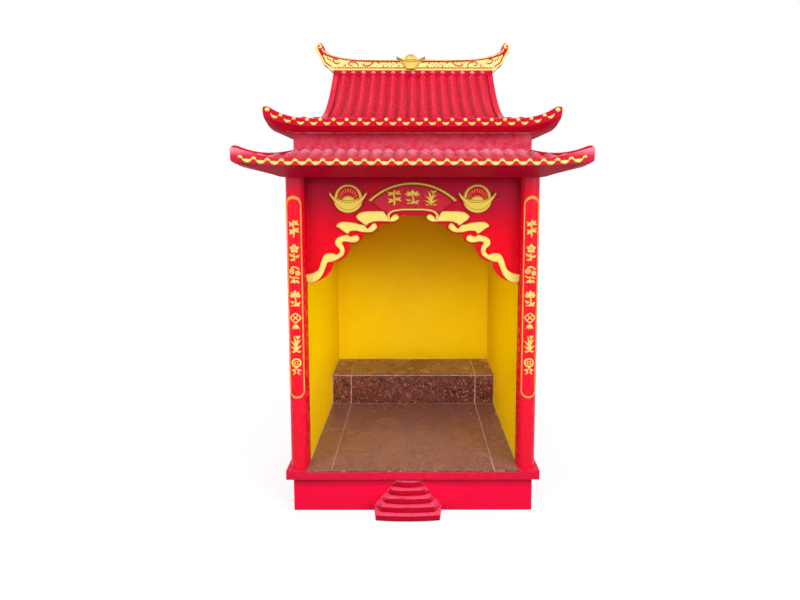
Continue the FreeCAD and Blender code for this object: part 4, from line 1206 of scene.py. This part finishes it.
medallionLook = {
    "centre": (-316, 1582), "face": 558,
    "ringWide": 60.5, "ringTall": 63.5, "ringHalfWidth": 7.6, "ringHeight": 13,
    "rays": 11, "rayFrom": 34, "rayTo": 50, "rayHalfWidth": 1.7,
    "boat": [(-93, 23), (-87, 29), (-69, 9), (-40, -4), (-20, -8), (0, -9), (20, -8), (40, -4),
             (69, 9), (87, 29), (93, 23), (78, -2), (69, -14), (63, -34), (48, -53), (26, -66),
             (0, -71), (-26, -66), (-48, -53), (-63, -34), (-69, -14), (-78, -2)],
    "horns": [(-93, 23), (-87, 29), (87, 29), (93, 23)],
    "grooves": [[(-66, -12), (-52, -32), (-30, -48), (0, -56), (30, -48), (52, -32), (66, -12)],
                [(-62, 0), (-40, -13), (-20, -18), (0, -19.5), (20, -18), (40, -13), (62, 0)]],
    "dome": (0, -9, 31, 26),
    "outline": 5.5, "shadowSunk": -0.4, "shadowEdge": 0.8, "boatHeight": 17, "boatEdge": 5,
    "domeHeight": 16, "grooveLevel": 16.8,
}


def medallion(side, sign):
    look = medallionLook
    cx, cz = look["centre"]
    cx = abs(cx) * sign

    def at(points):
        return [(cx - sign * x, cz + z) for x, z in points]
    shadow, sun, gilt, grooves = (Shape(onSide(0, look["face"])) for layer in range(4))
    wide, tall = look["ringWide"], look["ringTall"]
    rim = look["ringHalfWidth"] + look["outline"]
    edge, sunk = look["shadowEdge"], look["shadowSunk"]
    # crimson plates under the ring and the boat: painted shadow round the gilt
    shadow.plate([ring((cx, cz), wide + rim, 28, tall + rim)], 2.4, edge, sunk)
    grown = [(x * 1.055, (z + 3) * 1.07) for x, z in look["boat"]]
    shadow.plate([at(grown)], 2.8, edge, sunk)
    shadow.finish(f"{side}MedallionPaintedShadow", plain["crimsonPaintedShadow"], "red_paint")

    sun.dome(ring((cx, cz), wide - 4, 32, tall - 4), (cx, cz), 3, 1.6, fullness=4)
    sun.finish(f"{side}SunburstField", enamels["tileEnamel"], "red_paint")

    gilt.strip(ring((cx, cz), wide, 48, tall), look["ringHalfWidth"], look["ringHeight"],
               closed=True, across=10)
    for k in range(look["rays"]):
        turn = math.pi * (0.05 + 0.9 * k / (look["rays"] - 1))
        gilt.strip([(cx + reach * math.cos(turn), cz - 6 + reach * 1.08 * math.sin(turn))
                    for reach in (look["rayFrom"], 42, look["rayTo"])],
                   lambda t: look["rayHalfWidth"] * (0.7 + 0.5 * t), 2.6, 3.4, across=6)
    gilt.plate([at(look["boat"])], look["boatHeight"], look["boatEdge"], 0, at(look["horns"]))
    x, z, domeWide, domeTall = look["dome"]
    dome = [(cx + domeWide * math.cos(math.pi * i / 20),
             cz + z + domeTall * math.sin(math.pi * i / 20)) for i in range(21)]
    dome += [(cx - domeWide * 0.5, cz + z - 7), (cx + domeWide * 0.5, cz + z - 7)]
    gilt.dome(dome, (cx, cz + z + 8), look["domeHeight"])
    gilt.finish(f"{side}IngotRing", golds["medallionGold"], "gold_paint",
                (f"{side}_ingot_medallion",))

    # darker gold strips standing for the shade in the bowl's grooves: painted shade
    for path in look["grooves"]:
        grooves.strip(smoothPath(at(path), 5), lambda t: 1.1 + 0.9 * math.sin(math.pi * t),
                      0.9, look["grooveLevel"], across=4)
    grooves.finish(f"{side}IngotLines", golds["grooveShadeGold"], "gold_paint")


for side, sign in (("left", -1), ("right", 1)):
    medallion(side, sign)
print("the medallions are in place")


# ridge: scrolling leaves and spirals in pale gold on both faces

ridgeLook = {
    "face": 28, "relief": 5.2,
    "footBand": ((458, 2315), 7.2, 8.5),
    "topBand": [(0, 2367.5), (120, 2367.3), (187, 2367.2), (250, 2368.5), (331, 2371), (384, 2376),
                (430, 2384), (470, 2395), (495, 2405), (513, 2418), (519, 2431)],
    "outerBand": [(462, 2308), (474, 2319), (488, 2335), (504, 2346), (515, 2360), (523, 2380),
                  (535, 2400), (546, 2420), (551, 2437), (547, 2451), (537, 2455), (527, 2450),
                  (525, 2441), (531, 2436), (538, 2440)],
    # the gilt field: along its foot, up its end and back along its top
    "field": [(458, 2324), (470, 2336), (484, 2347), (499, 2358), (507, 2380), (514, 2401),
              (489, 2390), (450, 2378), (384, 2369), (318, 2361), (252, 2358), (150, 2357.5)],
    "fieldFoot": 2325, "fieldHead": 2357.5, "leafPitch": 14, "leafBite": 5,
    # crimson curls drawn on it
    "curls": [([(427, 2366.5), (438, 2372), (450, 2374), (457, 2368), (454, 2357), (442, 2349),
                (427, 2349), (416, 2358)], 3.4),
              ([(344, 2339), (356, 2338), (366, 2342), (368, 2350), (359, 2357), (341, 2358),
                (325, 2352), (316, 2342), (312, 2327)], 3.6),
              ([(276, 2350), (285, 2344), (278, 2337), (259, 2335), (243, 2341), (231, 2351),
                (223, 2361)], 3.6),
              ([(494, 2384), (486, 2374), (474, 2368), (466, 2360)], 2.6),
              ([(400, 2331), (388, 2338), (384, 2350)], 2.6),
              ([(204, 2360), (197, 2352), (188, 2349)], 2.8),
              ([(172, 2326), (168, 2336), (176, 2343)], 2.4),
              ([(98, 2361), (95, 2352), (86, 2347)], 2.8),
              ([(88, 2325), (84, 2334), (74, 2338)], 2.4), ([(62, 2360), (60, 2350)], 2.4)],
    "line": 1.2, "lineSunk": 0.4,
    "dots": [((157, 2344), 3.8), ((146, 2353.5), 3.8), ((124, 2353.5), 3.8), ((113, 2343.5), 3.8),
             ((124, 2334), 3.8), ((145, 2334), 3.8), ((135, 2344), 2.6), ((210, 2336), 3.0),
             ((296, 2352), 3.0), ((345, 2348), 3.0), ((440, 2360), 3.0), ((404, 2345), 2.6),
             ((188, 2337), 2.6), ((72, 2350), 2.6)],
}


def ridgeField(flip):
    # a leafy gilt field: its foot and top are bitten into small leaves
    look = ridgeLook

    def bites(points):
        for (x0, z0), (x1, z1) in zip(points, points[1:]):
            count = max(1, round(math.dist((x0, z0), (x1, z1)) / look["leafPitch"]))
            for k in range(count):
                for share, depth in ((0, 1), (0.3, 0.1), (0.6, 0)):
                    t = (k + share) / count
                    yield x0 + (x1 - x0) * t, z0 + (z1 - z0) * t, depth
    foot = [(x, z + look["leafBite"] * depth)
            for x, z, depth in bites([(8, look["fieldFoot"]), (456, look["fieldFoot"])])]
    top = look["field"][5:] + [(8, look["fieldHead"])]
    head = [(x, z - look["leafBite"] * depth) for x, z, depth in bites(top)]
    outline = foot + look["field"][:5] + head
    return mirror(outline) if flip else outline


def ridgeFace(turns):
    look = ridgeLook
    shape, drawn = (Shape(onSide(turns, look["face"])) for layer in range(2))
    (end, level), half, proud = look["footBand"]
    shape.strip([(-end + 2 * end * i / 60, level) for i in range(61)], half, proud, across=10)
    top = smoothPath(look["topBand"], 5)
    shape.strip(list(reversed(mirror(top))) + top[1:], 3.6, 6.5)
    height, foot = look["line"], look["relief"] - look["lineSunk"]
    for flip, turned in ((False, list), (True, mirror)):
        shape.plate([ridgeField(flip)], look["relief"], 1.2)
        shape.strip(turned(smoothPath(look["outerBand"], 5)),
                    lambda t: 5.0 + 1.4 * math.sin(math.pi * t), 7)
        for path, half in look["curls"]:

            def brush(t, half=half):
                # from a fine point to full and back
                share = min(0.5, 0.12 + 1.4 * t, 0.12 + 1.4 * (1 - t))
                return 1.25 * half * math.sin(math.pi * share)
            drawn.strip(turned(smoothPath(path, 5)), brush, height, foot, across=5)
        for centre, radius in look["dots"]:
            place = turned([centre])[0]
            drawn.dome(ring(place, radius, 10), place, height, foot, fullness=2)
    return shape, drawn


def dressRidge():
    gilt, lines = ridgeFace(0)
    for part, other in zip((gilt, lines), ridgeFace(2)):
        part.join(other)
    gilt.finish("ridgeScrollwork", golds["ridgeGold"], "gold_paint", ("ridge_border",))
    lines.finish("ridgeCurls", plain["roseCurlPaint"], "red_paint")


dressRidge()

ingotLook = {
    "centreX": -12, "foot": 2313, "footHalf": 28, "footDepth": 44, "rimHalf": 82, "rimDepth": 53,
    "rimLevel": 2360, "hornRise": 29, "squareness": 3.2, "lip": 3.2, "columns": 48,
    "stations": (0, 0.08, 0.25, 0.45, 0.65, 0.82, 0.94, 1),     # from the foot up to the rim
    # inside the rim: how far in, and how far down
    "hollow": ((3, -1.5), (6, 0), (9, 4), (16, 9), (30, 11)), "hollowDepth": 11,
    "dome": (46, 54.05, 42), "domeSunk": 6,     # half width, height and half depth
    # brown lines of painted shade round the foot, under the rim and round the dome: reach across
    # and in depth, level, whether they rise with the horns, radius
    "lines": [(29, 45, 2316, 0, 3.4), (80.5, 51.5, 2354.5, 1, 1.5), (44.5, 40.5, 2370, 0, 1.6)],
}


def ridgeIngot():
    look = ingotLook
    middle, foot, rim = look["centreX"], look["foot"], look["rimLevel"]

    def row(reachX, reachY, height):
        points = []
        for i in range(look["columns"]):
            turn = 2 * math.pi * i / look["columns"]
            x, y = (math.copysign(abs(v) ** (2 / look["squareness"]), v)
                    for v in (math.cos(turn), math.sin(turn)))
            horn = look["hornRise"] * abs(x) ** 2.2
            points.append((middle + reachX * x, height(horn), -reachY * y))
        return points

    rows = []
    for t in look["stations"]:
        reachX = look["footHalf"] + (look["rimHalf"] - look["footHalf"]) * t ** 0.85
        reachY = look["footDepth"] + (look["rimDepth"] - look["footDepth"]) * t ** 1.2
        rows.append(row(reachX, reachY, lambda horn: foot + (rim + horn - foot) * t))
    for inset, drop in look["hollow"]:
        share = 1 - inset / look["rimDepth"]
        rows.append(row(look["rimHalf"] * share, look["rimDepth"] * share,
                        lambda horn: rim + horn * share ** 3 - drop))
    shape, lines = (Shape(onSide(0, 0)) for layer in range(2))
    shape.grid(rows, closed=True, tip=(middle, rim - look["hollowDepth"], 0))
    shape.grid([[(x, foot, y) for x, up, y in rows[0]]], closed=True, tip=(middle, foot, 0))
    lip = look["lip"]
    shape.grid([row(look["rimHalf"] + lip * math.cos(turn) - 1,
                    look["rimDepth"] + lip * math.cos(turn) - 1,
                    lambda horn: rim + horn + lip * math.sin(turn))
                for turn in (2 * math.pi * i / 10 for i in range(11))], closed=True)
    shape.boss((middle, rim - look["domeSunk"], 0), look["dome"], range(0, 90, 9), 32)
    shape.finish("ridgeGoldIngot", golds["ingotGold"], "gold_paint", ("ridge_ingot",))
    # brown strips as painted shade round the foot, under the rim and round the dome
    for reachX, reachY, level, rises, radius in look["lines"]:
        lines.grid([row(reachX + radius * math.cos(turn), reachY + radius * math.cos(turn),
                        lambda horn: level + rises * horn + radius * math.sin(turn))
                    for turn in (2 * math.pi * i / 8 for i in range(9))], closed=True)
    lines.finish("ridgeIngotLines", golds["creaseShadeGold"], "gold_paint")


ridgeIngot()


# rounded ribs on the hips, and the round ends of the tile rolls under the ridge

hipLook = {"halfWidth": 19, "crown": 15, "from": 5, "stations": 22}


def hipRibs(roof):
    look = hipLook
    shape = Shape(standing)
    side = look["halfWidth"] / math.sqrt(2)
    for signX in (-1, 1):
        for signY in (-1, 1):
            rows = []
            for k in range(look["stations"] + 1):
                inward = look["from"] + (roof["run"] - look["from"]) * (k / look["stations"]) ** 1.3
                swell = min(1, math.sqrt(max(0.02, k / 3))) if k < 3 else 1
                crown = slopeHeight(roof, inward, inward) + look["crown"] * swell
                crown -= tipRounding(roof, inward, inward)
                row = []
                for step in range(11):
                    turn = math.pi * step / 10
                    across = -math.cos(turn) * side * (0.5 + 0.5 * swell)
                    near = inward - abs(across)
                    base = slopeHeight(roof, inward + abs(across), max(0, near)) - 2
                    high = base + (crown - base) * math.sin(turn) ** 0.85
                    row.append((signX * (roof["halfWidth"] - inward + across), high,
                                signY * (roof["halfDepth"] - inward - across)))
                rows.append(row)
            shape.grid(rows)
    shape.finish(f"{roof['name']}HipRibs", enamels["tileEnamel"], "red_paint",
                 (f"{roof['name']}_hip_ribs",))


hipRibs(upperRoof)
hipRibs(lowerRoof)
softened("verge_ribs", 3.5, "tileEnamel")

rollEndLook = {
    "half": (14.5, 8.5, 11), "level": 2296, "reach": 37, "count": 7,
    "cuts": (-75, -45, -15, 10, 30, 50, 70),    # degrees
}


def rollEnds():
    look = rollEndLook
    shape = Shape(standing)
    for k in range(-look["count"], look["count"] + 1):
        for face in (-1, 1):
            shape.boss((k * tileWork["pitch"], look["level"], face * look["reach"]),
                       look["half"], look["cuts"], 16)
    # the roll ends wear the pale bead enamel as a painted highlight
    shape.finish("rollEnds", enamels["highlightBeadEnamel"], "red_paint")


rollEnds()

bandHighlightLook = {"reach": (640, 562), "foot": 1797, "head": 1890.5, "half": 3.4, "height": 3.2,
                "topHalf": 1.8}


def bandHighlightBeads():
    # pale strips of painted highlight along the scallops where the lower rolls run up against the
    # band, and a straight one under the upper eave
    look = bandHighlightLook
    whole = Shape(Vector)
    for turns in range(4):
        half = look["reach"][1 - turns % 2]
        shape = Shape(onSide(turns, look["reach"][turns % 2]))
        count = round(half / 3)
        path = []
        for k in range(-count, count + 1):
            x = k / count * (half - 3)
            wave = (0.5 + 0.5 * math.cos(2 * math.pi * x / tileWork["pitch"])) ** 0.8
            path.append((x, look["foot"] + 3 + lowerRoof["crest"] * wave))
        shape.strip(path, look["half"], look["height"], -0.6, across=5)
        shape.strip([(x, look["head"]) for x in (3 - half, -half / 3, half / 3, half - 3)],
                    look["topHalf"], 1.6, -0.4, across=5)
        whole.join(shape)
    whole.finish("bandHighlightBeads", enamels["highlightBeadEnamel"], "red_paint")


bandHighlightBeads()
print("ridge, hips and roll ends are done")


# white grout in the tile joints and along the walls

groutLook = {
    "joint": 408, "wall": 529.5, "front": -633, "wallFront": -516, "riser": 248, "back": 583,
    "floor": 227, "ledge": 424, "ledgeTile": 8, "halfWidth": 2.6, "wallHalf": 1.9,
    "cornerHalf": (2.0, 2.4, 1.8),      # at the foot of the riser, its head and the back wall
    "height": 1.1, "sunk": -0.6, "uneven": (0.75, 1.3), "station": 14,
}


def groutLines():
    look = groutLook
    floor = Shape(lambda across, up, out: Vector((across, up, look["floor"] + out)))
    riser = Shape(lambda across, up, out: Vector((across, look["riser"] - out, up)))
    ledge = Shape(lambda across, up, out: Vector((across, up, look["ledge"] + out)))
    riserHead = look["ledge"] - look["ledgeTile"]

    def run(shape, start, end, half):
        count = max(8, int(math.dist(start, end) / look["station"]))
        path = [(start[0] + (end[0] - start[0]) * i / count,
                 start[1] + (end[1] - start[1]) * i / count) for i in range(count + 1)]
        widths = [half * random.uniform(*look["uneven"]) for point in path]
        shape.strip(path, lambda t: widths[round(t * count)], look["height"], look["sunk"],
                    across=4)
    for sign in (-1, 1):
        lines = ((sign * look["joint"], look["front"], look["halfWidth"]),
                 (sign * look["wall"], look["wallFront"], look["wallHalf"]))
        for x, front, half in lines:
            run(floor, (x, front), (x, look["riser"] - 1), half)
        for shape, near, far in ((riser, look["floor"], riserHead),
                                 (ledge, look["riser"] + 1, look["back"] - 1)):
            for x, front, half in lines:
                run(shape, (x, near), (x, far), half)
    corners = ((floor, look["riser"] - 2), (riser, riserHead), (ledge, look["back"] - 2))
    for (shape, level), half in zip(corners, look["cornerHalf"]):
        run(shape, (-look["wall"], level), (look["wall"], level), half)
    floor.join(riser)
    floor.join(ledge)
    floor.finish("jointGrout", plain["whiteGrout"], "cement")


groutLines()
print("the tiles are grouted")
